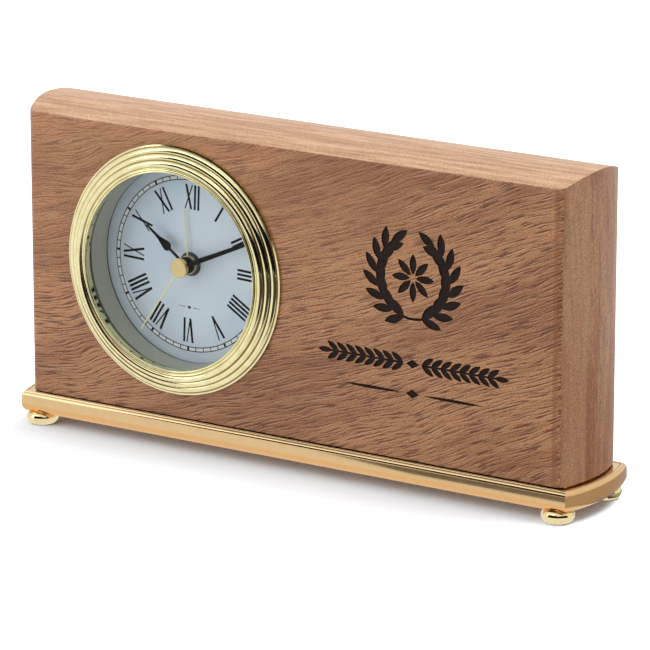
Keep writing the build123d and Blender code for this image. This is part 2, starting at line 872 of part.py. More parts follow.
def minute_pinion():
    """Cannon pinion: a tube with the minute hand at its front and a keeper ring behind the centre gear."""
    tube = rod(cannon_radius, minute_boss_front, keeper_back)
    pinion = gear(cannon_teeth, cannon_module, cannon_phase, cannon_front, cannon_back, pinion=True)
    keeper = rod(keeper_radius, keeper_front, keeper_back)
    return tube + pinion + keeper - rod(cannon_inner, minute_boss_front - overrun, keeper_back + overrun)


def minute_wheel():
    """Motion wheel between the cannon pinion and the hour wheel."""
    x, y = motion_x, motion_y
    wheel_front = cannon_front + mesh_overlap
    wheel = gear(
        minute_wheel_teeth, cannon_module, minute_wheel_phase,
        wheel_front, wheel_front + wheel_thickness, x, y
    )
    pinion = gear(
        minute_pinion_teeth, hour_module, minute_pinion_phase,
        hour_wheel_front - mesh_overlap, wheel_front, x, y, pinion=True
    )
    return spindle(x, y) + wheel + pinion


def hour_wheel():
    """Hour wheel on its pipe."""
    wheel = gear(hour_teeth, hour_module, hour_phase, hour_wheel_front, hour_wheel_back)
    pipe = rod(hour_pipe_radius, hour_boss_front, hour_wheel_back)
    return wheel + pipe - rod(hour_pipe_inner, hour_boss_front - overrun, hour_wheel_back + overrun)


def alarm_wheel():
    """Alarm wheel on the outermost pipe."""
    wheel = gear(alarm_teeth, alarm_module, alarm_phase, alarm_wheel_front, alarm_wheel_back)
    pipe = rod(alarm_pipe_radius, alarm_boss_front, alarm_wheel_back)
    return wheel + pipe - rod(alarm_pipe_inner, alarm_boss_front - overrun, alarm_wheel_back + overrun)


shaft_radius = 0.9
knob_radius = 4.2
knob_front_gap = 0.3
knob_flutes = 16
knob_flute_radius = 0.5
knob_edge = 0.4
knob_bore_depth = 3.0


def setting_shaft(teeth, module, phase, front, back, x, y):
    """Pinion on a shaft that runs back through the cover into its knob."""
    pinion = gear(teeth, module, phase, front, back, x, y, pinion=True)
    return rod(shaft_radius, front_pivot, cover_back + knob_front_gap + knob_bore_depth, x, y) + pinion


def knob(x, y):
    """Fluted push-on knob."""
    front = cover_back + knob_front_gap
    body = rod(knob_radius, front, knob_end)
    rim = body.edges().filter_by(GeomType.CIRCLE).sort_by(Axis.Z)[-1]
    body = fillet(rim, knob_edge)
    for index in range(knob_flutes):
        groove_x, groove_y = polar(knob_radius, 2 * math.pi * index / knob_flutes)
        body -= rod(knob_flute_radius, front + knob_edge, knob_end + overrun, groove_x, groove_y)
    body -= rod(shaft_radius, front - overrun, front + knob_bore_depth)
    return Pos(x, y, 0) * body


save_insert("minute_pinion", minute_pinion())
save_insert("minute_wheel", minute_wheel())
save_insert("hour_wheel", hour_wheel())
save_insert("alarm_wheel", alarm_wheel())
save_insert(
    "time_setting_shaft",
    setting_shaft(time_pinion_teeth, cannon_module, time_phase, cannon_front, cannon_back, time_x, time_y),
)
save_insert(
    "alarm_setting_shaft",
    setting_shaft(
        alarm_pinion_teeth, alarm_module, alarm_pinion_phase,
        alarm_wheel_front - mesh_overlap / 2, alarm_wheel_back + mesh_overlap / 2, alarm_x, alarm_y
    ),
)
save_insert("time_setting_knob", knob(time_x, time_y))
save_insert("alarm_setting_knob", knob(alarm_x, alarm_y))

# Hands. Each is drawn pointing up and then turned to its clock angle.

cap_radius = 3.05
cap_edge = 0.3
second_hub_radius = 2.4
second_length = 26.3
second_root_width = 0.55
second_tip_width = 0.3
minute_boss_radius = 2.75
minute_length = 25.6
minute_root_width = 1.75
minute_tip_width = 1.15
minute_point = 1.2
hour_boss_radius = 2.65
hour_length = 18.2
hour_stem_width = 0.85
bulb_center = 10.0
bulb_length = 5.4
bulb_width = 2.9
bulb_widest_share = 0.35
hour_shoulder_share = 1.1
hour_tip_width = 0.45
alarm_boss_radius = 2.9
alarm_length = 17.4
alarm_root_width = 0.5
alarm_tip_width = 0.3


def tapered_blade(root_width, tip_width, length, front, back, point=0.0):
    """Straight tapering blade, with an optional pointed end."""
    shoulder = length - point
    right = [(root_width / 2, 0), (tip_width / 2, shoulder)]
    left = [(-tip_width / 2, shoulder), (-root_width / 2, 0)]
    end = [(0, length)] if point else []
    face = make_face(Polyline(*right, *end, *left, close=True))
    return Pos(0, 0, front) * extrude(face, back - front)


def hand_on_pipe(blade, boss_radius_of_hand, boss_front, boss_back, pipe_radius):
    """Blade with a boss bored for its pipe."""
    body = blade + rod(boss_radius_of_hand, boss_front, boss_back)
    return body - rod(pipe_radius, boss_front - overrun, boss_back + overrun)


def hour_blade():
    """Narrow stem, a spade bulb and a thin tapering tip."""
    stem = hour_stem_width / 2
    start = bulb_center - bulb_length / 2
    widest = start + bulb_length * bulb_widest_share
    end = start + bulb_length
    half = bulb_width / 2
    shoulder = stem * hour_shoulder_share
    tip = hour_tip_width / 2
    low = (stem + half) / 2
    rise = (start + widest) / 2
    face = outline(
        Line((-stem, 0), (stem, 0)),
        Line((stem, 0), (stem, start)),
        ThreePointArc((stem, start), (low + stem / 2, (start + rise) / 2), (half, widest)),
        Line((half, widest), (shoulder, end)),
        Line((shoulder, end), (tip, hour_length)),
        Line((tip, hour_length), (-tip, hour_length)),
        Line((-tip, hour_length), (-shoulder, end)),
        Line((-shoulder, end), (-half, widest)),
        ThreePointArc((-half, widest), (-low - stem / 2, (start + rise) / 2), (-stem, start)),
        Line((-stem, start), (-stem, 0)),
    )
    return Pos(0, 0, hour_blade_front) * extrude(face, hour_blade_back - hour_blade_front)


def second_hand():
    """Thin blade on a small hub, pushed on the end of the seconds arbor."""
    blade = tapered_blade(
        second_root_width, second_tip_width, second_length, second_blade_front, second_blade_back
    )
    hub = rod(second_hub_radius, cap_front + cap_thickness, second_blade_back + layer_gap / 2)
    socket = rod(arbor_radius, cap_front, minute_boss_front)
    return Rot(0, 0, second_angle) * (blade + hub - socket)


def second_hand_cap():
    """Flat round cap with a rounded rim in front of the second hand."""
    body = rod(cap_radius, cap_front, cap_front + cap_thickness)
    rim = body.edges().filter_by(GeomType.CIRCLE).sort_by(Axis.Z)[0]
    return fillet(rim, cap_edge)


def minute_hand():
    """Plain stick hand."""
    blade = tapered_blade(
        minute_root_width, minute_tip_width, minute_length, minute_blade_front, minute_blade_back, minute_point
    )
    body = hand_on_pipe(blade, minute_boss_radius, minute_boss_front, minute_boss_back, cannon_radius)
    return Rot(0, 0, minute_angle) * body


def hour_hand():
    """Spade hand."""
    blade = hour_blade()
    body = hand_on_pipe(blade, hour_boss_radius, hour_boss_front, hour_boss_back, hour_pipe_radius)
    return Rot(0, 0, hour_angle) * body


def alarm_hand():
    """Short thin hand next to the dial."""
    blade = tapered_blade(
        alarm_root_width, alarm_tip_width, alarm_length, alarm_blade_front, alarm_blade_back
    )
    body = hand_on_pipe(blade, alarm_boss_radius, alarm_boss_front, alarm_boss_back, alarm_pipe_radius)
    return Rot(0, 0, alarm_angle) * body


save_insert("second_hand", second_hand())
save_insert("second_hand_cap", second_hand_cap())
save_insert("minute_hand", minute_hand())
save_insert("hour_hand", hour_hand())
save_insert("alarm_hand", alarm_hand())

# Movement case, with the battery bay along its bottom

case_half_width = 24.6
case_half_height = 21.5
case_wall = 1.0
floor_thickness = 1.2
floor_front = cover_front - floor_thickness
inner_half_width = case_half_width - case_wall
inner_half_height = case_half_height - case_wall
battery_radius = 5.25
battery_length = 43.7
nub_radius = 1.9
nub_length = 0.8
battery_y = -inner_half_height + fit_clearance + battery_radius
battery_stand_out = 0.3
battery_depth = floor_front - battery_radius + battery_stand_out
bay_wall = 0.7
partition_top = battery_y + battery_radius + fit_clearance + bay_wall
bay_front = battery_depth - battery_radius - fit_clearance - bay_wall
door_rebate = 0.7
door_end_margin = 0.75
door_side_margin = 0.3
door_width = battery_length + nub_length + 2 * door_end_margin
door_height = 2 * (battery_radius + door_side_margin)
rib_width = 1.4
rib_top = 16.0
case_screw_radius = 0.9
case_screw_head_radius = 1.7
case_screw_head_height = 0.6
case_screw_length = 7.0
post_radius = 1.9
post_bite = 0.4
post_x = inner_half_width - post_radius + post_bite
post_y = inner_half_height - post_radius + post_bite
switch_x = -15.0
switch_y = 8.0
switch_travel = 3.0
switch_stem_width = 3.0
switch_stem_height = 2.0
switch_head_width = 5.6
switch_head_height = 4.0
switch_head_thickness = 1.7
switch_foot_thickness = 1.0
switch_bands = 7
switch_groove_share = 0.25
slot_margin = 0.2


def switch_slot(front, back):
    """Slot that the alarm switch's stem slides in, longer than the stem by its travel."""
    width = switch_stem_width + switch_travel + 2 * slot_margin
    return slab(
        width, switch_stem_height + 2 * slot_margin, front, back, switch_x + switch_travel / 2, switch_y
    )


def shaft_holes(front, back):
    """Running holes for the two setting shafts."""
    radius = shaft_radius + running_clearance
    return rod(radius, front, back, time_x, time_y) + rod(radius, front, back, alarm_x, alarm_y)


def corner_posts(radius, front, back, rows):
    """Round posts or holes in the chosen corners of the case."""
    shapes = []
    for row in rows:
        for side in (1, -1):
            shapes.append(rod(radius, front, back, side * post_x, row * post_y))
    return shapes


def movement_case():
    """Rectangular cup with a battery bay open to the back, screw posts and two side ribs."""
    body = slab(2 * case_half_width, 2 * case_half_height, plate_back, cover_front)
    body -= slab(2 * inner_half_width, 2 * inner_half_height, plate_back - overrun, floor_front)
    partition_y = partition_top - bay_wall / 2
    body += slab(2 * inner_half_width, bay_wall, bay_front, floor_front, 0, partition_y)
    wall_height = partition_top + inner_half_height
    wall_y = -inner_half_height + wall_height / 2
    body += slab(2 * inner_half_width, wall_height, bay_front, bay_front + bay_wall, 0, wall_y)
    rib_height = rib_top - partition_top
    for side in (1, -1):
        rib_x = side * (inner_half_width - rib_width / 2)
        body += slab(rib_width, rib_height, bearing_back, floor_front, rib_x, partition_top + rib_height / 2)
    for post in corner_posts(post_radius, plate_back, floor_front, (1,)):
        body += post
    for post in corner_posts(post_radius, plate_back, bay_front, (-1,)):
        body += post
    hole_back = plate_back + case_screw_length
    for hole in corner_posts(case_screw_radius, plate_back - overrun, hole_back, (1, -1)):
        body -= hole
    body -= slab(door_width, door_height, floor_front - overrun, cover_front + overrun, 0, battery_y)
    body -= shaft_holes(floor_front - overrun, cover_front + overrun)
    body -= switch_slot(floor_front - overrun, cover_front + overrun)
    return body


pillar_radius = 1.0
pillar_inset_x = 1.8
pillar_inset_low = 1.4
pillar_inset_high = 1.0
stator_thickness = 0.8
stator_front = (magnet_front + magnet_back - stator_thickness) / 2
stator_back = stator_front + stator_thickness
stator_reach_left = 5.9
stator_reach_right = 4.0
stator_reach_down = 4.2
stator_reach_up = 6.6
stator_left = rotor_x - stator_reach_left
stator_right = rotor_x + stator_reach_right
stator_low = rotor_y - stator_reach_down
stator_high = rotor_y + stator_reach_up
stator_arm = 1.6
stator_arm_reach = 6.2
coil_right = stator_right + stator_arm_reach
tab_height = 4.4
tab_top = stator_high + tab_height
rotor_gap = 0.5
stator_hole_radius = magnet_radius + rotor_gap
bobbin_radius = 1.3
bobbin_flange_radius = 2.3
bobbin_flange = 0.6
winding_radius = 2.1
coil_rise = 2.4
coil_y = stator_high + coil_rise
coil_depth = (stator_front + stator_back) / 2


def stator_pillars():
    """Places of the two pillars that carry the stator plate."""
    x = stator_left + pillar_inset_x
    return ((x, stator_low + pillar_inset_low), (x, stator_high - pillar_inset_high))


def arbor_places():
    """Places of the arbors that turn between the two plates, apart from the one in the middle."""
    return ((intermediate_x, intermediate_y), (rotor_x, rotor_y), (third_x, third_y), (motion_x, motion_y))


def movement_front_plate():
    """Front plate with the long bush for the pipes, blind pivot holes and the stator's pillars."""
    body = slab(2 * case_half_width, 2 * case_half_height, dial_back, plate_back)
    body += rod(bush_radius, bush_front, plate_back)
    for x, y in stator_pillars():
        body += rod(pillar_radius, plate_back, stator_front, x, y)
    body -= rod(bush_inner, bush_front - overrun, plate_back + overrun)
    pivot_front = plate_back - pivot_depth
    pivot_radius = arbor_radius + running_clearance
    for x, y in arbor_places():
        body -= rod(pivot_radius, pivot_front, plate_back + overrun, x, y)
    body -= shaft_holes(pivot_front, plate_back + overrun)
    for hole in corner_posts(case_screw_radius, dial_back - overrun, plate_back + overrun, (1, -1)):
        body -= hole
    sink_back = dial_back + case_screw_head_height
    for sink in corner_posts(case_screw_head_radius, dial_back - overrun, sink_back, (1, -1)):
        body -= sink
    return body


def case_screws():
    """Four small screws that hold the front plate on the case's posts."""
    screws = []
    for row in (1, -1):
        for side in (1, -1):
            x = side * post_x
            y = row * post_y
            head = rod(case_screw_head_radius, dial_back, dial_back + case_screw_head_height, x, y)
            shank = rod(case_screw_radius, dial_back, plate_back + case_screw_length - fit_clearance, x, y)
            screws.append(head + shank)
    return Compound(children=screws)


def rear_bearing_plate():
    """Plate across the case that carries the rear ends of the arbors."""
    height = post_y - post_radius - fit_clearance - partition_top
    y = partition_top + height / 2
    body = slab(2 * inner_half_width, height, bearing_front, bearing_back, 0, y)
    pivot_radius = arbor_radius + running_clearance
    for x, y in ((0, 0), *arbor_places()):
        body -= rod(pivot_radius, bearing_front - overrun, bearing_back + overrun, x, y)
    return body - shaft_holes(bearing_front - overrun, bearing_back + overrun)


save_insert("movement_front_plate", movement_front_plate())
save_insert("movement_case", movement_case())
save_insert("case_screws", case_screws())
save_insert("rear_bearing_plate", rear_bearing_plate())


def stator_plate():
    """Soft iron plate round the rotor, with two tabs that clamp the coil's ends."""
    plate_width = stator_right - stator_left
    plate_height = stator_high - stator_low
    middle_x = (stator_left + stator_right) / 2
    middle_y = (stator_low + stator_high) / 2
    body = slab(plate_width, plate_height, stator_front, stator_back, middle_x, middle_y)
    arm_width = coil_right - stator_left
    arm_x = (coil_right + stator_left) / 2
    body += slab(arm_width, stator_arm, stator_front, stator_back, arm_x, stator_high - stator_arm / 2)
    whole_tab = tab_height + stator_arm
    tab_y = tab_top - whole_tab / 2
    for tab_x in (stator_left + stator_arm / 2, coil_right - stator_arm / 2):
        body += slab(stator_arm, whole_tab, stator_front, stator_back, tab_x, tab_y)
    return body - rod(stator_hole_radius, stator_front - overrun, stator_back + overrun, rotor_x, rotor_y)


def along_coil(radius, start, end):
    """Round bar along the coil's axis."""
    bar = Rot(0, 90, 0) * Cylinder(radius, end - start, align=(Align.CENTER, Align.CENTER, Align.MIN))
    return Pos(start, coil_y, coil_depth) * bar


coil_start = stator_left + stator_arm
coil_end = coil_right - stator_arm


def coil_bobbin():
    """Bobbin between the stator's tabs."""
    body = along_coil(bobbin_radius, coil_start, coil_end)
    body += along_coil(bobbin_flange_radius, coil_start, coil_start + bobbin_flange)
    return body + along_coil(bobbin_flange_radius, coil_end - bobbin_flange, coil_end)


def coil_winding():
    """Fine copper winding, as one sleeve."""
    start = coil_start + bobbin_flange
    end = coil_end - bobbin_flange
    return along_coil(winding_radius, start, end) - along_coil(bobbin_radius, start - overrun, end + overrun)


save_insert("stator_plate", stator_plate())
save_insert("coil_bobbin", coil_bobbin())
save_insert("coil_winding", coil_winding())

# Circuit board and what is on it

board_gap = 1.4
board_margin = 0.5
board_front = bearing_back + board_gap
board_thickness = 0.8
board_back = board_front + board_thickness
board_low = 3.0
board_high = rib_top - board_margin
board_half_width = inner_half_width - rib_width
chip_radius = 2.4
chip_height = 0.9
chip_x = -5.0
chip_y = 12.0
crystal_radius = 1.0
crystal_length = 6.0
crystal_x = -12.0
crystal_y = 13.6
buzzer_radius = 6.0
buzzer_height = 3.0
buzzer_x = 8.0
buzzer_y = 9.3


def circuit_board():
    """Board held between the case's side ribs."""
    height = board_high - board_low
    return slab(2 * board_half_width, height, board_front, board_back, 0, board_low + height / 2)


def driver_chip():
    """Blob of resin over the clock chip."""
    body = rod(chip_radius, board_back, board_back + chip_height, chip_x, chip_y)
    rim = body.edges().filter_by(GeomType.CIRCLE).sort_by(Axis.Z)[-1]
    return fillet(rim, chip_height / 2)


def quartz_crystal():
    """Small round can that lies on the board."""
    can = Rot(0, 90, 0) * Cylinder(crystal_radius, crystal_length)
    return Pos(crystal_x, crystal_y, board_back + crystal_radius) * can


save_insert("circuit_board", circuit_board())
save_insert("driver_chip", driver_chip())
save_insert("quartz_crystal", quartz_crystal())
save_insert("buzzer", rod(buzzer_radius, board_back, board_back + buzzer_height, buzzer_x, buzzer_y))

# Battery, its contacts and its door

contact_thickness = 0.4
contact_size = 7.0
cone_radius = 2.2


def battery():
    """Slim round cell that lies across the bay, plus pole to the right as seen from behind."""
    start = inner_half_width - contact_thickness - nub_length - battery_length
    cell = Cylinder(battery_radius, battery_length, align=(Align.CENTER, Align.CENTER, Align.MIN))
    nub = Cylinder(nub_radius, nub_length, align=(Align.CENTER, Align.CENTER, Align.MIN))
    body = cell + Pos(0, 0, battery_length) * nub
    return Pos(start, battery_y, battery_depth) * Rot(0, 90, 0) * body


def battery_contact_positive():
    """Flat plate against the bay's end wall."""
    x = inner_half_width - contact_thickness / 2
    middle = battery_depth
    half = contact_size / 2
    return slab(contact_thickness, contact_size, middle - half, middle + half, x, battery_y)


def battery_contact_negative():
    """Plate with a blunt raised boss that stands for the conical spring."""
    x = -inner_half_width + contact_thickness / 2
    half = contact_size / 2
    plate = slab(contact_thickness, contact_size, battery_depth - half, battery_depth + half, x, battery_y)
    cell_start = inner_half_width - contact_thickness - nub_length - battery_length
    boss_start = -inner_half_width + contact_thickness
    boss = Cylinder(cone_radius, cell_start - boss_start, align=(Align.CENTER, Align.CENTER, Align.MIN))
    return plate + Pos(boss_start, battery_y, battery_depth) * Rot(0, 90, 0) * boss


door_lip = 1.0
door_notch_radius = 2.2


def battery_door():
    """Snap-in lid in the rear cover, with a finger notch at one end."""
    width = door_width + 2 * door_lip - 2 * fit_clearance
    height = door_height + 2 * door_lip - 2 * fit_clearance
    plug_width = door_width - 2 * fit_clearance
    plug_height = door_height - 2 * fit_clearance
    outer = slab(width, height, cover_back - door_rebate, cover_back, 0, battery_y)
    plug = slab(plug_width, plug_height, cover_front + layer_gap, cover_back - door_rebate, 0, battery_y)
    notch = rod(door_notch_radius, cover_back - door_rebate, cover_back + overrun, width / 2, battery_y)
    return outer + plug - notch


save_insert("battery", battery())
save_insert("battery_contact_positive", battery_contact_positive())
save_insert("battery_contact_negative", battery_contact_negative())
save_insert("battery_door", battery_door())


def rear_cover():
    """Round cover flush in the bore, with openings for the door, the knobs' shafts and the switch."""
    body = rod(drum_radius, cover_front, cover_back)
    body -= slab(door_width, door_height, cover_front - overrun, cover_back + overrun, 0, battery_y)
    seat_width = door_width + 2 * door_lip
    seat_height = door_height + 2 * door_lip
    body -= slab(seat_width, seat_height, cover_back - door_rebate, cover_back + overrun, 0, battery_y)
    body -= shaft_holes(cover_front - overrun, cover_back + overrun)
    body -= switch_slot(cover_front - overrun, cover_back + overrun)
    for x, y in boss_places():
        body -= rod(cover_screw_radius, cover_front - overrun, cover_back + overrun, x, y)
        body -= rod(cover_screw_head_radius, cover_back - cover_screw_head_height, cover_back + overrun, x, y)
    return body


def cover_screws():
    """Three screws that hold the cover on the drum's bosses."""
    screws = []
    for x, y in boss_places():
        head = rod(cover_screw_head_radius, cover_back - cover_screw_head_height, cover_back, x, y)
        shank = rod(cover_screw_radius, cover_front - cover_screw_length + fit_clearance, cover_back, x, y)
        screws.append(head + shank)
    return Compound(children=screws)


def alarm_switch():
    """Slide switch: ribbed head behind the cover, stem through the slot, foot inside the case."""
    head_front = cover_back + slot_margin / 2
    foot_back = floor_front - slot_margin / 2
    head_back = head_front + switch_head_thickness
    foot_front = foot_back - switch_foot_thickness
    head = slab(switch_head_width, switch_head_height, head_front, head_back, switch_x, switch_y)
    stem = slab(switch_stem_width, switch_stem_height, foot_front, head_front, switch_x, switch_y)
    inner_foot = slab(switch_head_width, switch_head_height, foot_front, foot_back, switch_x, switch_y)
    groove = switch_head_width / switch_bands
    groove_front = head_front + switch_head_thickness * (1 - switch_groove_share)
    for index in range(1, switch_bands, 2):
        groove_x = switch_x - switch_head_width / 2 + groove * (index + 1 / 2)
        head -= slab(groove, switch_head_height + overrun, groove_front, knob_end, groove_x, switch_y)
    return head + stem + inner_foot


spring_width = 10.0
spring_thickness = 0.3
spring_depth = 1.4
spring_y = -10.6
spring_post_radius = 1.0


def alarm_contact_spring():
    """Leaf on a small post beside the alarm wheel; the wheel's cam lets it close at the alarm time."""
    leaf_bar = slab(spring_width, spring_thickness, plate_back, plate_back + spring_depth, 0, spring_y)
    post = rod(spring_post_radius, plate_back, plate_back + spring_depth, -spring_width / 2, spring_y)
    return leaf_bar + post


save_insert("rear_cover", rear_cover())
save_insert("cover_screws", cover_screws())
save_insert("alarm_switch", alarm_switch())
save_insert("alarm_contact_spring", alarm_contact_spring())
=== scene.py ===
# %% [markdown]
# # A wooden desk clock
# The clock is a shaped wood block with a round brass insert, on a moulded brass plinth with four button feet.
# The solids come finished from the CAD model, with smooth normals, so most of the work here is in
# the finishes. What is new in this file is small: the turned brass bezel, the printing on the dial
# and the dark crosses of painted shade in three screws' recesses.

# %% Load the model
import math

import bpy
import numpy as np
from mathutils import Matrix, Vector


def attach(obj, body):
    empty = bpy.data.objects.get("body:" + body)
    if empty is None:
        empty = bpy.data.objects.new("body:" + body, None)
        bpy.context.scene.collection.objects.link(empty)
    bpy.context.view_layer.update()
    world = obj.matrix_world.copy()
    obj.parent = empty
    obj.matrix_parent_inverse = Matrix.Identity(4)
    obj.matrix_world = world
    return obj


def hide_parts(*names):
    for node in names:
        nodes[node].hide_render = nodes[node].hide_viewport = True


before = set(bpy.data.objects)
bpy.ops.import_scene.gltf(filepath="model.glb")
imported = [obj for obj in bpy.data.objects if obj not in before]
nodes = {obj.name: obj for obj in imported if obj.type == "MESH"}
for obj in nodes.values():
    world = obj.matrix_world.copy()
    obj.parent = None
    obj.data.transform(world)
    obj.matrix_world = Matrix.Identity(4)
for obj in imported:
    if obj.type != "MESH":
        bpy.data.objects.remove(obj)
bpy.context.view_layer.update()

# One millimetre in metres, then millimetres: the wood face on the depth axis, and the dial behind it
MM = 0.001
FACE = -16.25
DIAL_DEPTH = 8.6

# %% [markdown]
# ## Shader arithmetic
# A finish is easier to read as a formula than as a web of nodes.
# `Wire` holds one output socket, and each operator adds the Math node that does the same sum.
# Every other kind of node comes from `Finish.node`, which sets its options first and then its sockets.

# %% A class for shader arithmetic
class Wire:
    """One output socket of a finish, which can be used in sums."""

    def __init__(self, finish, socket):
        self.finish = finish
        self.socket = socket

    def math(self, operation, *others):
        """A Math node on this wire and the other wires or numbers."""
        sockets = {0: self, **dict(enumerate(others, 1))}
        return self.finish.node("ShaderNodeMath", {"operation": operation}, sockets)

    def __add__(self, other):
        return self.math("ADD", other)

    def __radd__(self, other):
        return self.math("ADD", other)

    def __sub__(self, other):
        return self.math("SUBTRACT", other)

    def __rsub__(self, other):
        return self.finish.node("ShaderNodeMath", {"operation": "SUBTRACT"}, {0: other, 1: self})

    def __mul__(self, other):
        return self.math("MULTIPLY", other)

    def __rmul__(self, other):
        return self.math("MULTIPLY", other)

    def within(self, low, high):
        """0 below low, 1 above high and a smooth step between; low may be the higher one."""
        options = {"interpolation_type": "SMOOTHSTEP"}
        sockets = {"Value": self, "From Min": min(low, high), "From Max": max(low, high)}
        step = self.finish.node("ShaderNodeMapRange", options, sockets)
        return step if low < high else 1 - step


print("class ready:", Wire.__name__)

# %% [markdown]
# A finish starts as one Principled shader.
# Numbers that are the same all over go straight to its sockets, because the exported model keeps only those.

# %% A class for finishes
class Finish:
    """A new material with one Principled shader."""

    def __init__(self, name, **constants):
        self.material = bpy.data.materials.new(name)
        self.material.use_nodes = True
        self.tree = self.material.node_tree
        self.tree.nodes.clear()
        self.output = self.tree.nodes.new("ShaderNodeOutputMaterial")
        self.shader = self.tree.nodes.new("ShaderNodeBsdfPrincipled")
        self.tree.links.new(self.shader.outputs[0], self.output.inputs[0])
        for socket, value in constants.items():
            self.shader.inputs[socket.replace("_", " ").title().replace("Ior", "IOR")].default_value = value

    def node(self, kind, options, sockets, out=0):
        """Any node: its options, then the values or wires of its sockets. Returns one of its outputs."""
        made = self.tree.nodes.new(kind)
        for option, value in options.items():
            setattr(made, option, value)
        for socket, value in sockets.items():
            if isinstance(value, Wire):
                self.tree.links.new(value.socket, made.inputs[socket])
            else:
                made.inputs[socket].default_value = value
        return Wire(self, made.outputs[out])

    def drive(self, socket, wire):
        """Feeds one socket of the Principled shader."""
        self.tree.links.new(wire.socket, self.shader.inputs[socket])

    def parts(self, output):
        """The three parts of one output of the Texture Coordinate node, as wires."""
        coordinates = self.node("ShaderNodeTexCoord", {}, {}, output)
        split = self.node("ShaderNodeSeparateXYZ", {}, {0: coordinates})
        return [Wire(self, part) for part in split.socket.node.outputs]

    def place(self):
        """Object coordinates as three wires, in millimetres."""
        return [part * (1 / MM) for part in self.parts("Object")]

    def facing(self):
        """The surface's own direction as three wires, in object space."""
        return self.parts("Normal")

    def point(self, x, y, z):
        """A vector from three wires or numbers."""
        return self.node("ShaderNodeCombineXYZ", {}, {0: x, 1: y, 2: z})

    def noise(self, vector, scale=1.0, detail=2.0, roughness=0.5):
        """Noise from about 0 to 1 with its middle near 0.5."""
        sockets = {"Vector": vector, "Scale": scale, "Detail": detail, "Roughness": roughness}
        return self.node("ShaderNodeTexNoise", {}, sockets)

    def mix(self, factor, first, second, blend="MIX"):
        """Two colours mixed by a wire or a number."""
        options = {"data_type": "RGBA", "blend_type": blend}
        return self.node("ShaderNodeMix", options, {0: factor, 6: first, 7: second}, 2)

    def bump(self, height, distance):
        """Feeds Normal from a height that is 0 to 1, with its full depth in millimetres."""
        sockets = {"Height": height, "Distance": distance * MM, "Strength": 1.0}
        self.drive("Normal", self.node("ShaderNodeBump", {}, sockets))


print("class ready:", Finish.__name__)

# %% [markdown]
# Colours are written as they look on a screen, from 0 to 255, because they were matched to a
# photograph. Shaders work in linear light, so `srgb` converts each one.
# `dress` lays a finish on pieces of the CAD model, in place of any that they had.

# %% Colours, and finishes on the CAD pieces
def srgb(red, green, blue):
    """Linear colour of a screen colour given from 0 to 255, by the sRGB curve: c / 12.92 where c is
    up to 0.04045, and ((c + 0.055) / 1.055) ^ 2.4 above."""
    parts = np.array([red, green, blue]) / 255
    linear = np.where(parts <= 0.04045, parts / 12.92, ((parts + 0.055) / 1.055) ** 2.4)
    return (*linear.tolist(), 1.0)


def dress(finish, *names):
    """Puts a finish on CAD nodes."""
    for name in names:
        nodes[name].data.materials.clear()
        nodes[name].data.materials.append(finish.material)
    print(finish.material.name, "on", ", ".join(names))


print("screen grey 128 is", round(srgb(128, 128, 128)[0], 3), "in linear light")

# %% [markdown]
# ## Wood
# The block is a coarse brown hardwood, planed and given a satin lacquer.
# Its front shows short dark flecks that climb to the right, steeper at the right end than at the left.
# An image would be quicker, but a formula on object coordinates runs through the block without a seam.
# The height across the grain bends with x, so the flecks turn as the real ones do, and it wanders by
# some millimetres, more at the left end.

# %% Wood: places and directions
GRAIN = math.radians(18.2)
BEND = 0.0006
WANDER = 7.0
MORE_WANDER = 8.0
SATIN = 0.42
LACQUER = 0.1
wood = Finish("satin_hardwood", roughness=SATIN, coat_weight=LACQUER, coat_roughness=0.3)
x, y, z = wood.place()
face_x, _, face_z = wood.facing()
wander = wood.noise(wood.point(x * 0.02, y * 0.03, z * 0.04), detail=2.0) - 0.5
drift = wander * (WANDER + x.within(0.0, -60.0) * MORE_WANDER)
across = z * math.cos(GRAIN) - x * math.sin(GRAIN) - x * x * BEND + drift
along = x * math.cos(GRAIN) + z * math.sin(GRAIN)
end = face_x.math("ABSOLUTE").within(0.55, 0.8)
top = face_z.within(0.55, 0.8)
print("grain climbs", round(math.degrees(GRAIN), 1), "degrees")

# %% [markdown]
# Three sizes of pattern make the front: broad light and dark zones, long faint lines and short flecks.
# Each is one noise that is squeezed across the grain, and the flecks keep only its deepest parts.
# The numbers in a noise's point are its cycles per millimetre along the grain, into the depth and across.
# A fleck has a pale line just below it, where the cut pore catches the light, so the same noise is read
# again a third of a millimetre higher up.

# %% Wood: zones, lines and flecks
GLINT_SHIFT = 0.33
zones = wood.noise(wood.point(along * 0.012, y * 0.02, across * 0.05), detail=3.0)
lines = wood.noise(wood.point(along * 0.03, y * 0.25, across * 0.7), detail=4.0, roughness=0.6)


def fleck_noise(shift):
    """The fleck pattern, moved across the grain by shift in millimetres."""
    return wood.noise(wood.point(along * 0.12, y * 0.8, (across + shift) * 2.0), detail=2.5, roughness=0.5)


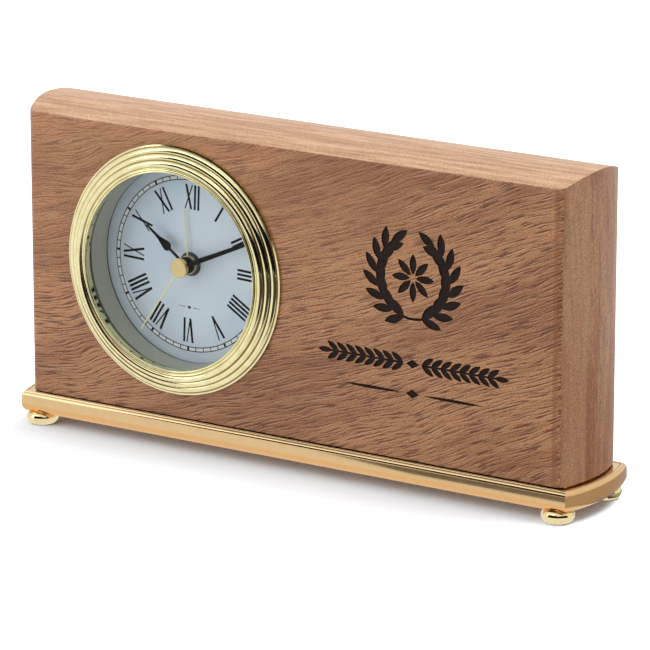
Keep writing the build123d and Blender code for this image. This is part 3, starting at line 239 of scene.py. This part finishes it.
fleck_field = fleck_noise(0.0)
fleck = fleck_field.within(0.47, 0.385)
wave = fleck_field.within(0.53, 0.41)
glint = fleck_noise(GLINT_SHIFT).within(0.5, 0.4)
pores = wood.noise(wood.point(along * 0.8, y * 3.0, across * 4.0), detail=2.0).within(0.45, 0.30)
strong = (z + wander * 60.0).within(86.0, 34.0).math("MAXIMUM", x.within(30.0, 62.0))
figure = 0.55 + 0.45 * strong
speckle = wood.noise(wood.point(x, y, z), scale=3.2, detail=2.0, roughness=0.7)
end_zones = wood.noise(wood.point(x * 0.01, y * 0.14, z * 0.02), detail=2.0)
end_lines = wood.noise(wood.point(x * 0.02, y * 0.9 + z * 0.06, z * 0.05), detail=4.0, roughness=0.6)
end_fleck = wood.noise(wood.point(x * 0.3, y * 2.2 - z * 0.7, z * 0.5), detail=3.0).within(0.5, 0.36)
top_lines = wood.noise(wood.point(x * 0.035, y * 0.7, z * 0.1), detail=4.0, roughness=0.6)
top_fleck = wood.noise(wood.point(x * 0.2, y * 1.8, z * 0.2), detail=2.0).within(0.46, 0.34)
print("wood nodes so far", len(wood.tree.nodes))

# %% [markdown]
# The colours are layered from the ground up: zones, then lines, then flecks, then fine grey grain.
# The end is a quieter cut with upright lines, a paler strip near its front and a faint line in the
# strip. The top has lines along it and is painted paler, as painted light from above. Where the face
# turns into the rounded upright edge, the cut runs out of the grain and leaves a warm line.

# %% Wood: colours
front = wood.mix(zones.within(0.38, 0.62), srgb(164, 106, 66), srgb(200, 142, 96))
front = wood.mix(lines.within(0.42, 0.62) * 0.4, front, srgb(202, 155, 116))
front = wood.mix(lines.within(0.47, 0.36) * 0.35, front, srgb(124, 80, 52))
front = wood.mix(glint * figure * 0.35, front, srgb(226, 181, 140))
front = wood.mix(wave * figure * 0.42, front, srgb(124, 68, 40))
front = wood.mix(fleck * figure * 0.75, front, srgb(104, 46, 22))
front = wood.mix(pores * 0.45, front, srgb(88, 48, 28))
edge_line = x.within(92.0, 92.9) * x.within(94.6, 93.4)
front = wood.mix(edge_line * 0.45, front, srgb(140, 78, 38))
side = wood.mix(end_zones.within(0.4, 0.62), srgb(184, 132, 90), srgb(168, 102, 56))
side = wood.mix(end_lines.within(0.5, 0.7) * 0.45, side, srgb(198, 150, 108))
side = wood.mix(end_lines.within(0.46, 0.34) * 0.6, side, srgb(112, 68, 42))
side = wood.mix(end_fleck * 0.5, side, srgb(108, 66, 42))
side = wood.mix(y.within(-4.0, -7.0) * 0.4, side, srgb(202, 156, 116))
strip_line = y.within(-6.8, -5.4) * y.within(-3.0, -4.6) * end_zones.within(0.4, 0.6)
side = wood.mix(strip_line * 0.3, side, srgb(122, 70, 40))
# The top is painted paler than the front, as painted light from above.
painted_lit_top = wood.mix(top_lines.within(0.35, 0.65), srgb(190, 143, 104), srgb(222, 182, 144))
painted_lit_top = wood.mix(top_fleck * 0.25, painted_lit_top, srgb(176, 124, 88))
colour = wood.mix(end, wood.mix(top, front, painted_lit_top), side)
greys = wood.mix(speckle.within(0.32, 0.68), srgb(62, 56, 52), srgb(235, 230, 226))
colour = wood.mix(0.5, colour, greys, "OVERLAY")
print("wood nodes so far", len(wood.tree.nodes))

# %% [markdown]
# The ornament is burnt into the wood, so its pockets are nearly black and dull.
# A box in object coordinates finds them: the only wood just behind the face there is the pockets'
# floor and walls. The box is given by where it starts and ends, with soft sides a millimetre wide.

# %% Wood: the burnt ornament
LEFT, RIGHT = 5.0, 88.0
LOW, HIGH = 22.0, 92.0
behind = y.within(FACE + 0.03, FACE + 0.12) * y.within(FACE + 0.9, FACE + 0.7)
burnt = behind * x.within(LEFT, LEFT + 1) * x.within(RIGHT, RIGHT - 1)
burnt = burnt * z.within(LOW, LOW + 1) * z.within(HIGH, HIGH - 1)
char = wood.mix(speckle.within(0.3, 0.7), srgb(24, 12, 8), srgb(44, 24, 15))
wood.drive("Base Color", wood.mix(burnt, colour, char))
wood.drive("Roughness", SATIN + fleck * 0.1 + burnt * 0.45)
wood.drive("Coat Weight", LACQUER - burnt * LACQUER)
wood.bump(1 - fleck * 0.6 - pores * 0.5 + speckle * 0.2, 0.05)
dress(wood, "wood_block")

# %% [markdown]
# ## Brass
# Three brasses are told apart by colour: the plinth is a warm gold, the feet and the bezel are paler.
# All are polished and lacquered, so what they show is mostly their surroundings.
# A faint noise in the roughness keeps a large polished face from looking like a mirror of glass.

# %% Brass finishes
def polished(name, colour, roughness, spread, metallic=1.0, painted_reflection=None):
    """Metal with a slightly uneven polish, and maybe a painted reflection: another colour where it faces down
    or sideways.
    """
    finish = Finish(name, metallic=metallic)
    x, y, z = finish.place()
    cloud = finish.noise(finish.point(x, y, z), scale=0.35, detail=4.0, roughness=0.6)
    finish.drive("Roughness", roughness + (cloud - 0.5) * spread)
    deep = tuple(part * 0.93 for part in colour[:3]) + (1.0,)
    shade = finish.mix(cloud.within(0.3, 0.7), deep, colour)
    # Faces that look down or sideways take the other colour, a painted reflection.
    if painted_reflection:
        face_x, _, face_z = finish.facing()
        turned = face_z.within(0.14, -0.2).math("MAXIMUM", face_x.math("ABSOLUTE").within(0.6, 0.9))
        shade = finish.mix(turned, shade, painted_reflection)
    finish.drive("Base Color", shade)
    return finish


plinth_brass = polished("plinth_gold", srgb(218, 188, 143), 0.07, 0.04, painted_reflection=srgb(222, 173, 116))
foot_brass = polished("foot_gold", srgb(236, 216, 164), 0.05, 0.03)
gilt = polished("gilt_hands", srgb(240, 226, 184), 0.32, 0.1, metallic=0.6)
cap_gold = polished("cap_gold", srgb(232, 204, 146), 0.3, 0.1)
pipe_brass = polished("turned_brass", srgb(214, 178, 104), 0.25, 0.12)
dress(plinth_brass, "plinth")
dress(foot_brass, "foot_front_left", "foot_front_right", "foot_rear_left", "foot_rear_right")
dress(gilt, "second_hand", "alarm_hand")
dress(cap_gold, "second_hand_cap")
dress(pipe_brass, "minute_pinion", "alarm_wheel")

# %% [markdown]
# ## Dial, wall and lens
# The dial is a thin sheet with a satin blue-grey paint, and the deep wall in front of it is plain
# satin metal with a painted shadow where it meets the dial. The lens is flat and thin, so a mix of clear
# and glossy by Fresnel is enough, and it lets light through to the dial. Its mirror is weak, as on coated
# glass.

# %% Dial, wall and lens finishes
dial_paint = Finish("dial_blue_grey", roughness=0.42, metallic=0.25)
x, y, z = dial_paint.place()
mist = dial_paint.noise(dial_paint.point(x, y, z), scale=0.05, detail=2.0)
grain = dial_paint.noise(dial_paint.point(x * 9.0, y, z * 9.0), detail=2.0)
dial_colour = dial_paint.mix(mist.within(0.3, 0.7), srgb(209, 225, 240), srgb(225, 236, 247))
dial_paint.drive("Base Color", dial_paint.mix(grain * 0.1, dial_colour, srgb(130, 144, 160)))
dial_paint.drive("Roughness", 0.38 + grain * 0.1)
dress(dial_paint, "dial")

wall_metal = Finish("satin_wall", metallic=0.15)
x, y, z = wall_metal.place()
brushing = wall_metal.noise(wall_metal.point(x * 0.2, y * 6.0, z * 0.2), detail=3.0)
wall_colour = wall_metal.mix(brushing, srgb(184, 183, 168), srgb(202, 201, 186))
# The last part of the wall next to the dial is painted near black, a painted shadow in the corner.
dial_corner_shadow = y.within(FACE + DIAL_DEPTH - 0.6, FACE + DIAL_DEPTH - 0.4)
wall_metal.drive("Base Color", wall_metal.mix(dial_corner_shadow, wall_colour, srgb(30, 31, 33)))
wall_metal.drive("Roughness", 0.4 + brushing * 0.14)
dress(wall_metal, "reflector_ring")

MIRROR = 0.09
glass = Finish("clear_lens")
glass.tree.nodes.remove(glass.shader)
gloss = glass.node("ShaderNodeBsdfGlossy", {}, {"Color": (1, 1, 1, 1), "Roughness": 0.02})
clear = glass.node("ShaderNodeBsdfTransparent", {}, {"Color": (0.97, 0.98, 0.98, 1)})
edge = glass.node("ShaderNodeFresnel", {}, {"IOR": 1.45})
glass_mix = glass.node("ShaderNodeMixShader", {}, {0: edge * MIRROR, 1: clear, 2: gloss})
glass.tree.links.new(glass_mix.socket, glass.output.inputs[0])
dress(glass, "lens")


# %% [markdown]
# ## Paint, plastic, rubber and plated steel
# These are small or stand at the back, but each still has a grain: moulded plastic has a fine
# leathery bump, gear nylon is milky, and steel is plated and slightly uneven.

# %% Small finishes
def moulded(name, colour, roughness, grain_scale, depth, sheen=0.5):
    """Moulded plastic, paint or rubber: one colour, a fine grain and a slightly uneven sheen."""
    finish = Finish(name, specular_ior_level=sheen)
    x, y, z = finish.place()
    grain = finish.noise(finish.point(x, y, z), scale=grain_scale, detail=3.0, roughness=0.6)
    cloud = finish.noise(finish.point(x, y, z), scale=0.12, detail=2.0)
    paler = tuple(part + 0.02 for part in colour[:3]) + (1.0,)
    finish.drive("Base Color", finish.mix(cloud.within(0.3, 0.7), colour, paler))
    finish.drive("Roughness", roughness + (grain - 0.5) * 0.2)
    if depth:
        finish.bump(grain, depth)
    return finish


hand_paint = moulded("hand_black", srgb(8, 8, 9), 0.6, 3.0, 0.0, sheen=0.03)
ink_and_recess_shade = moulded("dial_ink_and_screw_shade", srgb(10, 10, 12), 0.7, 5.0, 0.0, sheen=0.02)
pale_ink = moulded("track_white", srgb(236, 240, 243), 0.5, 5.0, 0.0)
cover_plastic = moulded("cover_black", srgb(40, 40, 42), 0.55, 3.5, 0.05)
knob_plastic = moulded("knob_black", srgb(30, 30, 31), 0.35, 2.5, 0.01)
case_plastic = moulded("case_smoke", srgb(74, 76, 80), 0.4, 2.0, 0.01)
nylon = moulded("gear_nylon", srgb(232, 228, 216), 0.45, 2.0, 0.01)
gasket_rubber = moulded("gasket_rubber", srgb(28, 28, 28), 0.8, 4.0, 0.03)
board_green = moulded("board_green", srgb(26, 92, 58), 0.3, 2.0, 0.01)
chip_resin = moulded("chip_resin", srgb(16, 16, 16), 0.2, 1.0, 0.01)
cell_wrap = moulded("cell_wrap", srgb(60, 96, 70), 0.35, 1.0, 0.0)
magnet_grey = moulded("magnet_grey", srgb(70, 70, 74), 0.5, 3.0, 0.01)
copper = polished("copper_wire", srgb(206, 124, 76), 0.35, 0.1)
plated = polished("plated_steel", srgb(214, 214, 210), 0.22, 0.12)
raw_steel = polished("plain_steel", srgb(178, 178, 174), 0.38, 0.16)
dress(hand_paint, "hour_hand", "minute_hand")
dress(cover_plastic, "rear_cover", "buzzer")
dress(knob_plastic, "battery_door", "time_setting_knob", "alarm_setting_knob", "alarm_switch")
dress(case_plastic, "movement_case", "movement_front_plate", "rear_bearing_plate")
dress(nylon, "intermediate_gear", "seconds_gear", "third_gear", "center_gear", "minute_wheel", "hour_wheel")
dress(nylon, "rotor", "coil_bobbin")
dress(gasket_rubber, "bore_gasket")
dress(board_green, "circuit_board")
dress(chip_resin, "driver_chip")
dress(cell_wrap, "battery")
dress(magnet_grey, "rotor_magnet")
dress(copper, "coil_winding")
dress(plated, "cover_screws", "plinth_screws", "case_screws", "time_setting_shaft", "alarm_setting_shaft")
dress(plated, "battery_contact_positive", "battery_contact_negative", "alarm_contact_spring", "clutch_washer")
dress(plated, "quartz_crystal")
dress(raw_steel, "drum", "stator_plate")

# %% [markdown]
# ## New pieces on the insert
# The insert sits turned a little in its bore. Its bezel and its print could be laid out in the clock's
# own directions, but they are simpler upright and round their own middle, and are then turned together.

# %% Places on the insert
CENTRE = np.array([-40.9, FACE, 57.4])
TURN = math.radians(2.3)


def on_insert(points):
    """Clock metres from insert millimetres (right, up, back from the wood face), turned clockwise:
    x = right cos TURN + up sin TURN and z = up cos TURN - right sin TURN, moved to CENTRE."""
    right, up, back = np.asarray(points, float).T
    x = right * math.cos(TURN) + up * math.sin(TURN)
    z = up * math.cos(TURN) - right * math.sin(TURN)
    return (np.stack([x, back, z], axis=1) + CENTRE) * MM


print("insert turned", round(math.degrees(TURN), 1), "degrees clockwise")

# %% [markdown]
# Each new piece is a closed mesh. Blender's own shapes would have to be cut and joined, so numpy lays
# out all the corners at once instead. `solid` makes the mesh and sees to it that its faces look
# outwards. Then it puts the finish on the piece and hangs it on the empty of the body that it rides on.

# %% Closed meshes
def solid(name, points, faces, body, slot_name, finish, corner=35.0):
    """A closed mesh from metres and four-sided faces, smooth up to a corner angle. Its volume is the
    sum over all triangles of a . (b x c) / 6, and where that is negative the faces are turned over."""
    mesh = bpy.data.meshes.new(name)
    mesh.from_pydata(points.tolist(), [], faces.tolist())
    mesh.update()
    triangles = points[np.concatenate([faces[:, :3], faces[:, [0, 2, 3]]])]
    a, b, c = triangles.swapaxes(0, 1)
    volume = np.einsum("ij,ij->", a, np.cross(b, c)) / 6
    if volume < 0:
        mesh.flip_normals()
    mesh.shade_smooth()
    mesh.set_sharp_from_angle(angle=math.radians(corner))
    mesh.materials.append(finish.material)
    piece = bpy.data.objects.new(name, mesh)
    bpy.context.scene.collection.objects.link(piece)
    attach(piece, body)
    print(name, "points", len(points), "volume mm3", round(abs(volume) * 1e9, 4))
    return piece


print("helper ready:", solid.__name__)

# %% [markdown]
# ## Bezel
# The bezel is turned: three rolls climb towards the glass, then a narrow cove and a beaded lip.
# It is made again here as a true lathe surface, because polished rolls show every facet in their reflections.
# Each roll is an arc, given by where it starts, a place on its way and where it ends.

# %% Arcs through three points
def arc(start, middle, end, steps=14):
    """Points on the circle through three points, from start up to but not including end. The centre m
    solves (b - a) . m = (b.b - a.a) / 2 and (c - b) . m = (c.c - b.b) / 2."""
    a, b, c = (np.array(point) for point in (start, middle, end))
    normal = np.array([b - a, c - b])
    centre = np.linalg.solve(normal, np.array([(b @ b - a @ a) / 2, (c @ c - b @ b) / 2]))
    first, half, last = (math.atan2(*(point - centre)[::-1]) for point in (a, b, c))
    sweep = (last - first) % math.tau
    if (half - first) % math.tau > sweep:
        sweep -= math.tau
    angle = first + sweep * np.arange(steps) / steps
    return (centre + np.linalg.norm(a - centre) * np.stack([np.cos(angle), np.sin(angle)], axis=1)).tolist()


print("helper ready:", arc.__name__)

# %% [markdown]
# The outline is the CAD model's, point by point, so the new ring lies exactly over the old one.
# It is given in (radius, depth): the rim, the rolls' edges and crests, the cove, the lip, and the back
# with the lens seat and the skirt.

# %% Bezel outline
RIM = [(39.0, 0.0), (39.0, -0.8)]
ROLL_EDGES = (38.4, 36.5, 34.6, 32.6)
ROLL_DEPTHS = (-0.9, -1.9, -2.8, -3.6)
ROLL_CRESTS = (-2.0, -2.95, -4.0)
CREST_SHARE = 0.55
COVE_MIDDLE, COVE_END = (32.105, -3.15), (31.5, -3.45)
LIP_CREST, OPENING = (31.2, -3.75), (30.9, -3.3)
SEAT = [(30.9, -1.3), (32.3, -1.3), (32.3, 0.2)]
SKIRT = [(33.2, 0.2), (33.2, 4.0), (34.0, 4.0), (34.0, 0.0)]
edges = list(zip(ROLL_EDGES, ROLL_DEPTHS))
profile = list(RIM)
for start, end, crest in zip(edges, edges[1:], ROLL_CRESTS):
    profile += arc(start, (start[0] + (end[0] - start[0]) * CREST_SHARE, crest), end)
profile += arc(edges[-1], COVE_MIDDLE, COVE_END, steps=8)
profile += arc(COVE_END, LIP_CREST, OPENING, steps=10)
profile += [OPENING, *SEAT, *SKIRT]
print("bezel profile points", len(profile))

# %% [markdown]
# A lathe carries the outline round the axis. Blender's Screw modifier would do that too, but corners
# worked out here can be turned with the insert straight away, and the fine rings on the dial use the
# same helper.

# %% Lathe
def lathe(points, steps=540):
    """Points and faces of a closed (radius, back) outline carried round the insert's axis: at the angle
    t a corner lies at (radius sin t, radius cos t, back)."""
    radius, back = np.array(points).T
    angle = np.linspace(0, math.tau, steps, endpoint=False)[:, None]
    ring = np.stack([radius * np.sin(angle), radius * np.cos(angle), back + 0 * angle], axis=2)
    here = np.arange(steps)[:, None] * len(points)
    ahead = (np.arange(steps)[:, None] + 1) % steps * len(points)
    corner = np.arange(len(points))[None]
    nearby = (corner + 1) % len(points)
    faces = np.stack([here + corner, here + nearby, ahead + nearby, ahead + corner], axis=2)
    return on_insert(ring.reshape(-1, 3)), faces.reshape(-1, 4)


print("helper ready:", lathe.__name__)

# %% [markdown]
# The brass is painted darker in each groove, as painted shade, and is made duller there.
# The finish measures the distance from the axis and draws a soft brown line of painted shade at each roll's
# edge.

# %% Bezel finish
bezel_brass = Finish("bezel_gold", metallic=1.0)
x, y, z = bezel_brass.place()
out = ((x - CENTRE[0]).math("POWER", 2) + (z - CENTRE[2]).math("POWER", 2)).math("SQRT")
cloud = bezel_brass.noise(bezel_brass.point(x, y, z), scale=0.3, detail=4.0)
# Painted shade: a soft brown line at each roll's edge, where the brass is also duller.
groove_shade = sum((out - edge).math("ABSOLUTE").within(0.26, 0.05) for edge in ROLL_EDGES)
groove_shade = groove_shade.math("MINIMUM", 1.0)
pale = bezel_brass.mix(cloud.within(0.3, 0.7), srgb(228, 217, 166), srgb(240, 231, 182))
bezel_brass.drive("Base Color", bezel_brass.mix(groove_shade * 0.6, pale, srgb(126, 92, 44)))
bezel_brass.drive("Roughness", 0.05 + cloud * 0.05 + groove_shade * 0.2)
ring = solid("bezel_ring", *lathe(profile), "clock", "bezel_brass", bezel_brass, corner=30.0)
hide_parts("bezel")

# %% [markdown]
# ## Printing on the dial
# The print is a skin of ink a few hundredths of a millimetre thick.
# It could be painted by a shader, but real strokes stay sharp at any size and need no image.
# Each stroke is a flat bar with four corners on the dial, raised a little from it.
# `bars` stacks the corners of any number of strokes into eight points each and joins them by six faces.

# %% Strokes as flat bars
INK = 0.02
TICK_INK = 0.018
GROUND_INK = 0.01
SINK = 0.01
BOX_FACES = np.array([[0, 1, 2, 3], [7, 6, 5, 4], [0, 4, 5, 1], [1, 5, 6, 2], [2, 6, 7, 3], [3, 7, 4, 0]])
print("ink", INK, "mm high")


def bars(quads, depth, rise, sink=SINK):
    """Points and faces of raised bars. quads holds the strokes, each as four (right, up) corners in order.
    Bar n has its corners at depth - rise as points 8n to 8n + 3, and at depth + sink as the next four."""
    quads = np.asarray(quads, float)
    count = len(quads)
    lifted = np.concatenate([quads, np.full((count, 4, 1), depth - rise)], axis=2)
    sunk = np.concatenate([quads, np.full((count, 4, 1), depth + sink)], axis=2)
    points = np.concatenate([lifted, sunk], axis=1).reshape(-1, 3)
    faces = (BOX_FACES[None] + 8 * np.arange(count)[:, None, None]).reshape(-1, 4)
    return on_insert(points), faces


# %% [markdown]
# A numeral is a row of slanted strokes between an inner and an outer radius, drawn as if it stood at
# the top, and then turned round the dial to its hour. Heavy strokes run down to the right and light
# ones up to the right, as a broad pen makes them.

# %% Hour numerals
INNER = 17.3
OUTER = 25.0
HEAVY = 0.74
LIGHT = 0.42
SLANTED = 0.8
# Each sign: its width, then strokes as (left at the foot, left at the top, thickness)
SIGNS = {
    "I": (HEAVY, [(0.0, 0.0, HEAVY)]),
    "V": (2.6, [(1.08, 0.0, SLANTED), (1.28, 2.3, LIGHT)]),
    "X": (2.8, [(2.06, 0.0, SLANTED), (0.0, 2.5, LIGHT)]),
}
GAP = 0.58
HOURS = ("XII", "I", "II", "III", "IIII", "V", "VI", "VII", "VIII", "IX", "X", "XI")


def around(across, outwards, angle):
    """(right, up) points from places drawn at the top of the dial, turned clockwise by the angle:
    right = across cos + outwards sin and up = outwards cos - across sin."""
    right = across * np.cos(angle) + outwards * np.sin(angle)
    return np.stack([right, outwards * np.cos(angle) - across * np.sin(angle)], axis=2)


def numeral(text, hour):
    """Corners of all the strokes of one numeral, centred and turned to its hour, 30 degrees each."""
    strokes = []
    cursor = 0.0
    for sign in text:
        width, parts = SIGNS[sign]
        strokes += [(cursor + foot, cursor + head, thick) for foot, head, thick in parts]
        cursor += width + GAP
    foot, head, thick = np.array(strokes).T[:, :, None]
    middle = (cursor - GAP) / 2
    across = np.concatenate([foot, foot + thick, head + thick, head], axis=1) - middle
    outwards = np.array([INNER, INNER, OUTER, OUTER])[None] + across * 0
    return around(across, outwards, math.radians(30 * hour))


numerals = np.concatenate([numeral(text, hour) for hour, text in enumerate(HOURS)])
solid("dial_numerals", *bars(numerals, DIAL_DEPTH, INK), "clock", "black_paint", ink_and_recess_shade)

# %% [markdown]
# The minute track is two fine rings with sixty ticks between them, and a bolder tick at each hour.
# A ring is a small rectangle on the same lathe as the bezel. The ground between the rings is a paler ink.

# %% Minute track
TRACK_INNER = 26.4
TRACK_OUTER = 27.67
HALF_LINE = 0.14
TICK = 0.3
HOUR_TICK = 0.74


def band(inner, outer, rise):
    """Points and faces of a flat ring on the dial: a rectangle between two radii on the lathe."""
    front, back = DIAL_DEPTH - rise, DIAL_DEPTH + SINK
    return lathe([(inner, front), (outer, front), (outer, back), (inner, back)], steps=360)


def spokes(angles, inner, outer, width):
    """Corners of radial bars at these angles in degrees: half the width to each side, from inner to outer."""
    angle = np.radians(angles)[:, None]
    across = np.array([[-0.5, 0.5, 0.5, -0.5]]) * width
    return around(across, np.array([[inner, inner, outer, outer]]), angle)


solid("track_ground", *band(TRACK_INNER, TRACK_OUTER, GROUND_INK), "clock", "dial_paint", pale_ink)
for name, radius in (("track_inner_ring", TRACK_INNER), ("track_outer_ring", TRACK_OUTER)):
    line = band(radius - HALF_LINE, radius + HALF_LINE, INK)
    solid(name, *line, "clock", "black_paint", ink_and_recess_shade)
ticks = spokes(np.arange(60) * 6.0, TRACK_INNER, TRACK_OUTER, TICK)
hour_ticks = spokes(np.arange(12) * 30.0, TRACK_INNER, TRACK_OUTER, HOUR_TICK)
solid("minute_ticks", *bars(ticks, DIAL_DEPTH, TICK_INK), "clock", "black_paint", ink_and_recess_shade)
solid("hour_ticks", *bars(hour_ticks, DIAL_DEPTH, INK), "clock", "black_paint", ink_and_recess_shade)

# %% [markdown]
# Under the centre is a small printed ornament: a diamond between two short dashes.

# %% Dial ornament
RISE = np.array([0.0, -13.8])
DIAMOND = np.array([(-0.8, 0.0), (0.0, -0.5), (0.8, 0.0), (0.0, 0.5)])
DASH = np.array([(1.5, -0.11), (4.2, -0.03), (4.2, 0.03), (1.5, 0.11)])
ornament = {"dial_diamond": DIAMOND, "dial_dash_right": DASH, "dial_dash_left": DASH * (-1, 1)}
for name, stroke in ornament.items():
    solid(name, *bars([stroke + RISE], DIAL_DEPTH, INK), "clock", "black_paint", ink_and_recess_shade)

# %% [markdown]
# The three screws in the rear cover have cross recesses. Each is drawn as two bars of painted shade that
# are let into the flat head and end just proud of it, because at this size only the dark cross is seen.

# %% Screw recesses
COVER_DEPTH = 31.7
SCREW_CIRCLE = 31.4
SCREW_ANGLES = (90.0, 176.0, 4.0)
LET_IN = 0.2
LEVEL_BAR = np.array([(-1.2, -0.25), (1.2, -0.25), (1.2, 0.25), (-1.2, 0.25)])
UPRIGHT_BAR = LEVEL_BAR[:, ::-1]
angles = np.radians(SCREW_ANGLES)
middles = SCREW_CIRCLE * np.stack([-np.cos(angles), np.sin(angles)], axis=1)[:, None]
# The dark bars are painted shade for the screws' cross recesses, in the same black as the dial print.
crosses = {"screw_recess_shade": (LEVEL_BAR, 0.02), "screw_cross_recess_shade": (UPRIGHT_BAR, 0.03)}
for name, (bar, proud) in crosses.items():
    solid(name, *bars(middles + bar, COVER_DEPTH, LET_IN, proud), "clock", "black_paint", ink_and_recess_shade)

# %% [markdown]
# ## Floor, light and surroundings
# The clock stands on a plain white floor in even studio light: one broad lamp above and behind, one in front.
# Sun lamps with a wide angle give the same light all over the floor, with soft shadows.
# The floor and the world are white to the camera and to reflections, and the floor still takes the
# shadow. Its colour is above 1 for camera rays, because the plain level of the lamps leaves it grey.

# %% Floor
FLOOR_HALF = 4.0
OPEN_FLOOR = (1.66, 1.77, 1.9, 1)
BOUNCED_FLOOR = (0.7, 0.7, 0.7, 1)
WHITE, BLACK = (1, 1, 1, 1), (0, 0, 0, 1)
floor_finish = Finish("studio_floor", roughness=0.9)
path = floor_finish.tree.nodes.new("ShaderNodeLightPath")
camera_ray, glossy_ray, through_ray, bounces = (
    Wire(floor_finish, path.outputs[ray])
    for ray in ("Is Camera Ray", "Is Glossy Ray", "Is Transmission Ray", "Diffuse Depth")
)
glossy_ray = glossy_ray * bounces.within(0.6, 0.4)
bounced = floor_finish.mix(glossy_ray, BOUNCED_FLOOR, BLACK)
seen = camera_ray.math("MAXIMUM", through_ray)
floor_finish.drive("Base Color", floor_finish.mix(seen, bounced, OPEN_FLOOR))
floor_finish.drive("Emission Color", floor_finish.mix(glossy_ray, BLACK, WHITE))
floor_finish.shader.inputs["Emission Strength"].default_value = 1.0


def sheet(name, corners, finish):
    """One flat face of the surroundings, with its corners in order."""
    mesh = bpy.data.meshes.new(name)
    mesh.from_pydata(corners, [], [tuple(range(len(corners)))])
    mesh.materials.append(finish.material)
    made = bpy.data.objects.new(name, mesh)
    bpy.context.scene.collection.objects.link(made)
    return made


signs = ((-1, -1), (1, -1), (1, 1), (-1, 1))
floor = sheet("floor", [(a * FLOOR_HALF, b * FLOOR_HALF, 0) for a, b in signs], floor_finish)
print("floor", 2 * FLOOR_HALF, "m wide")

# %% [markdown]
# The world lights the shadows at less than half strength, and is plain white where it is seen, mirrored
# or looked at through the lens.

# %% World
SKY_LEVEL = 0.45
world = bpy.data.worlds.new("studio")
bpy.context.scene.world = world
world.use_nodes = True
sky = world.node_tree
background = sky.nodes["Background"]
light_path = sky.nodes.new("ShaderNodeLightPath")
bright = light_path.outputs["Is Camera Ray"]
for ray in ("Is Glossy Ray", "Is Transmission Ray"):
    larger = sky.nodes.new("ShaderNodeMath")
    larger.operation = "MAXIMUM"
    sky.links.new(bright, larger.inputs[0])
    sky.links.new(light_path.outputs[ray], larger.inputs[1])
    bright = larger.outputs[0]
level = sky.nodes.new("ShaderNodeMapRange")
sky.links.new(bright, level.inputs["Value"])
level.inputs["To Min"].default_value = SKY_LEVEL
level.inputs["To Max"].default_value = 1.0
sky.links.new(level.outputs[0], background.inputs["Strength"])
background.inputs["Color"].default_value = WHITE
print("world", SKY_LEVEL, "for the shadows and 1 where it is seen")


# %% [markdown]
# Sun lamps keep the light level plain: a colour comes out about as it is written.
# The overhead one draws the shadow in front of the plinth, and the front one fills the face and the
# deep dial.

# %% Lamps
def sun(name, towards, strength, spread):
    """A sun lamp; towards is the direction from the clock to the lamp, and spread its angle in degrees."""
    lamp = bpy.data.lights.new(name, "SUN")
    lamp.energy = strength
    lamp.angle = math.radians(spread)
    placed = bpy.data.objects.new(name, lamp)
    placed.rotation_euler = Vector(towards).to_track_quat("Z", "Y").to_euler()
    placed.location = Vector(towards)
    bpy.context.scene.collection.objects.link(placed)
    print(name, "strength", strength, "angle", spread)


sun("overhead_lamp", (0.25, 0.3, 0.92), strength=1.75, spread=35)
sun("front_lamp", (-0.35, -0.8, 0.45), strength=0.85, spread=60)


# %% [markdown]
# Polished metal in an all white room looks like plastic. Dark flags beside the camera draw the dark
# lines along the mouldings by their reflections. Only glossy rays see them. The ones that lie on the
# floor start below the plinth's nose and end where the floor is white in the reflections again.

# %% Dark flags
def flag(name, corners, grey=0.012):
    """A card given by its corners in order, dark unless a grey is given; only reflections see it."""
    finish = Finish(name, base_color=(grey, grey, grey, 1.0), roughness=1.0, specular_ior_level=0.0)
    card = sheet(name, corners, finish)
    card.visible_camera = False
    card.visible_diffuse = False
    card.visible_shadow = False
    card.visible_transmission = False
    print(name, "grey", grey)


def standing(start, end, height):
    """Corners of an upright card over the line between two points of the floor."""
    return [(*start, 0.0), (*end, 0.0), (*end, height), (*start, height)]


def lying(*points):
    """Corners of a card that lies a millimetre above the floor."""
    return [(*point, MM) for point in points]


flag("front_flag", standing((-0.36, -0.45), (0.3, -0.45), 0.4))
flag("right_flag", standing((0.36, -0.65), (0.78, 0.1), 0.4))
FLOOR_FLAG = ((0.0, -0.44), (0.525, -0.44), (0.525, -0.02), (0.13, -0.02), (0.09, -0.07), (0.0, -0.1))
flag("floor_flag", lying(*FLOOR_FLAG), grey=0.06)
# The grey end flag is a painted shadow. It stands for the floor's shade beside the plinth's end, and only
# reflections see it.
END_FLAG = ((0.106, -0.018), (0.2, -0.018), (0.2, 0.14), (0.09, 0.14), (0.09, 0.03))
flag("end_flag", lying(*END_FLAG), grey=0.5)
NEAR_FLAG = ((0.05, -0.0525), (0.11, -0.0525), (0.11, -0.0865), (-0.03, -0.0865))
flag("near_flag", lying(*NEAR_FLAG))
NEAREST_FLAG = ((0.03, -0.0425), (0.11, -0.0425), (0.11, -0.0525), (-0.03, -0.0525))
flag("nearest_flag", lying(*NEAREST_FLAG), grey=0.28)

# %% [markdown]
# ## Camera
# The camera stands well back, to the right of the dial and a little above it.
# Its place and lens come from a fit to the corners of the block.

# %% Camera
YAW = math.radians(33.0)
PITCH = math.radians(15.35)
DISTANCE = 1.345
AIM = Vector((0.01378, FACE * MM, 0.0482))
SENSOR = 36.0
# The lens in pixels of a picture 650 wide
LENS_PIXELS = 4504
PICTURE = 650
away = Vector((math.sin(YAW) * math.cos(PITCH), -math.cos(YAW) * math.cos(PITCH), math.sin(PITCH)))
lens = bpy.data.cameras.new("camera")
lens.sensor_width = SENSOR
lens.lens = LENS_PIXELS / PICTURE * SENSOR
lens.clip_end = 50.0
camera = bpy.data.objects.new("camera", lens)
camera.location = AIM + away * DISTANCE
camera.rotation_euler = away.to_track_quat("Z", "Y").to_euler()
bpy.context.scene.collection.objects.link(camera)
bpy.context.scene.camera = camera
bpy.context.scene.view_settings.view_transform = "Standard"
print("lens", round(lens.lens, 1), "mm at", DISTANCE, "m")
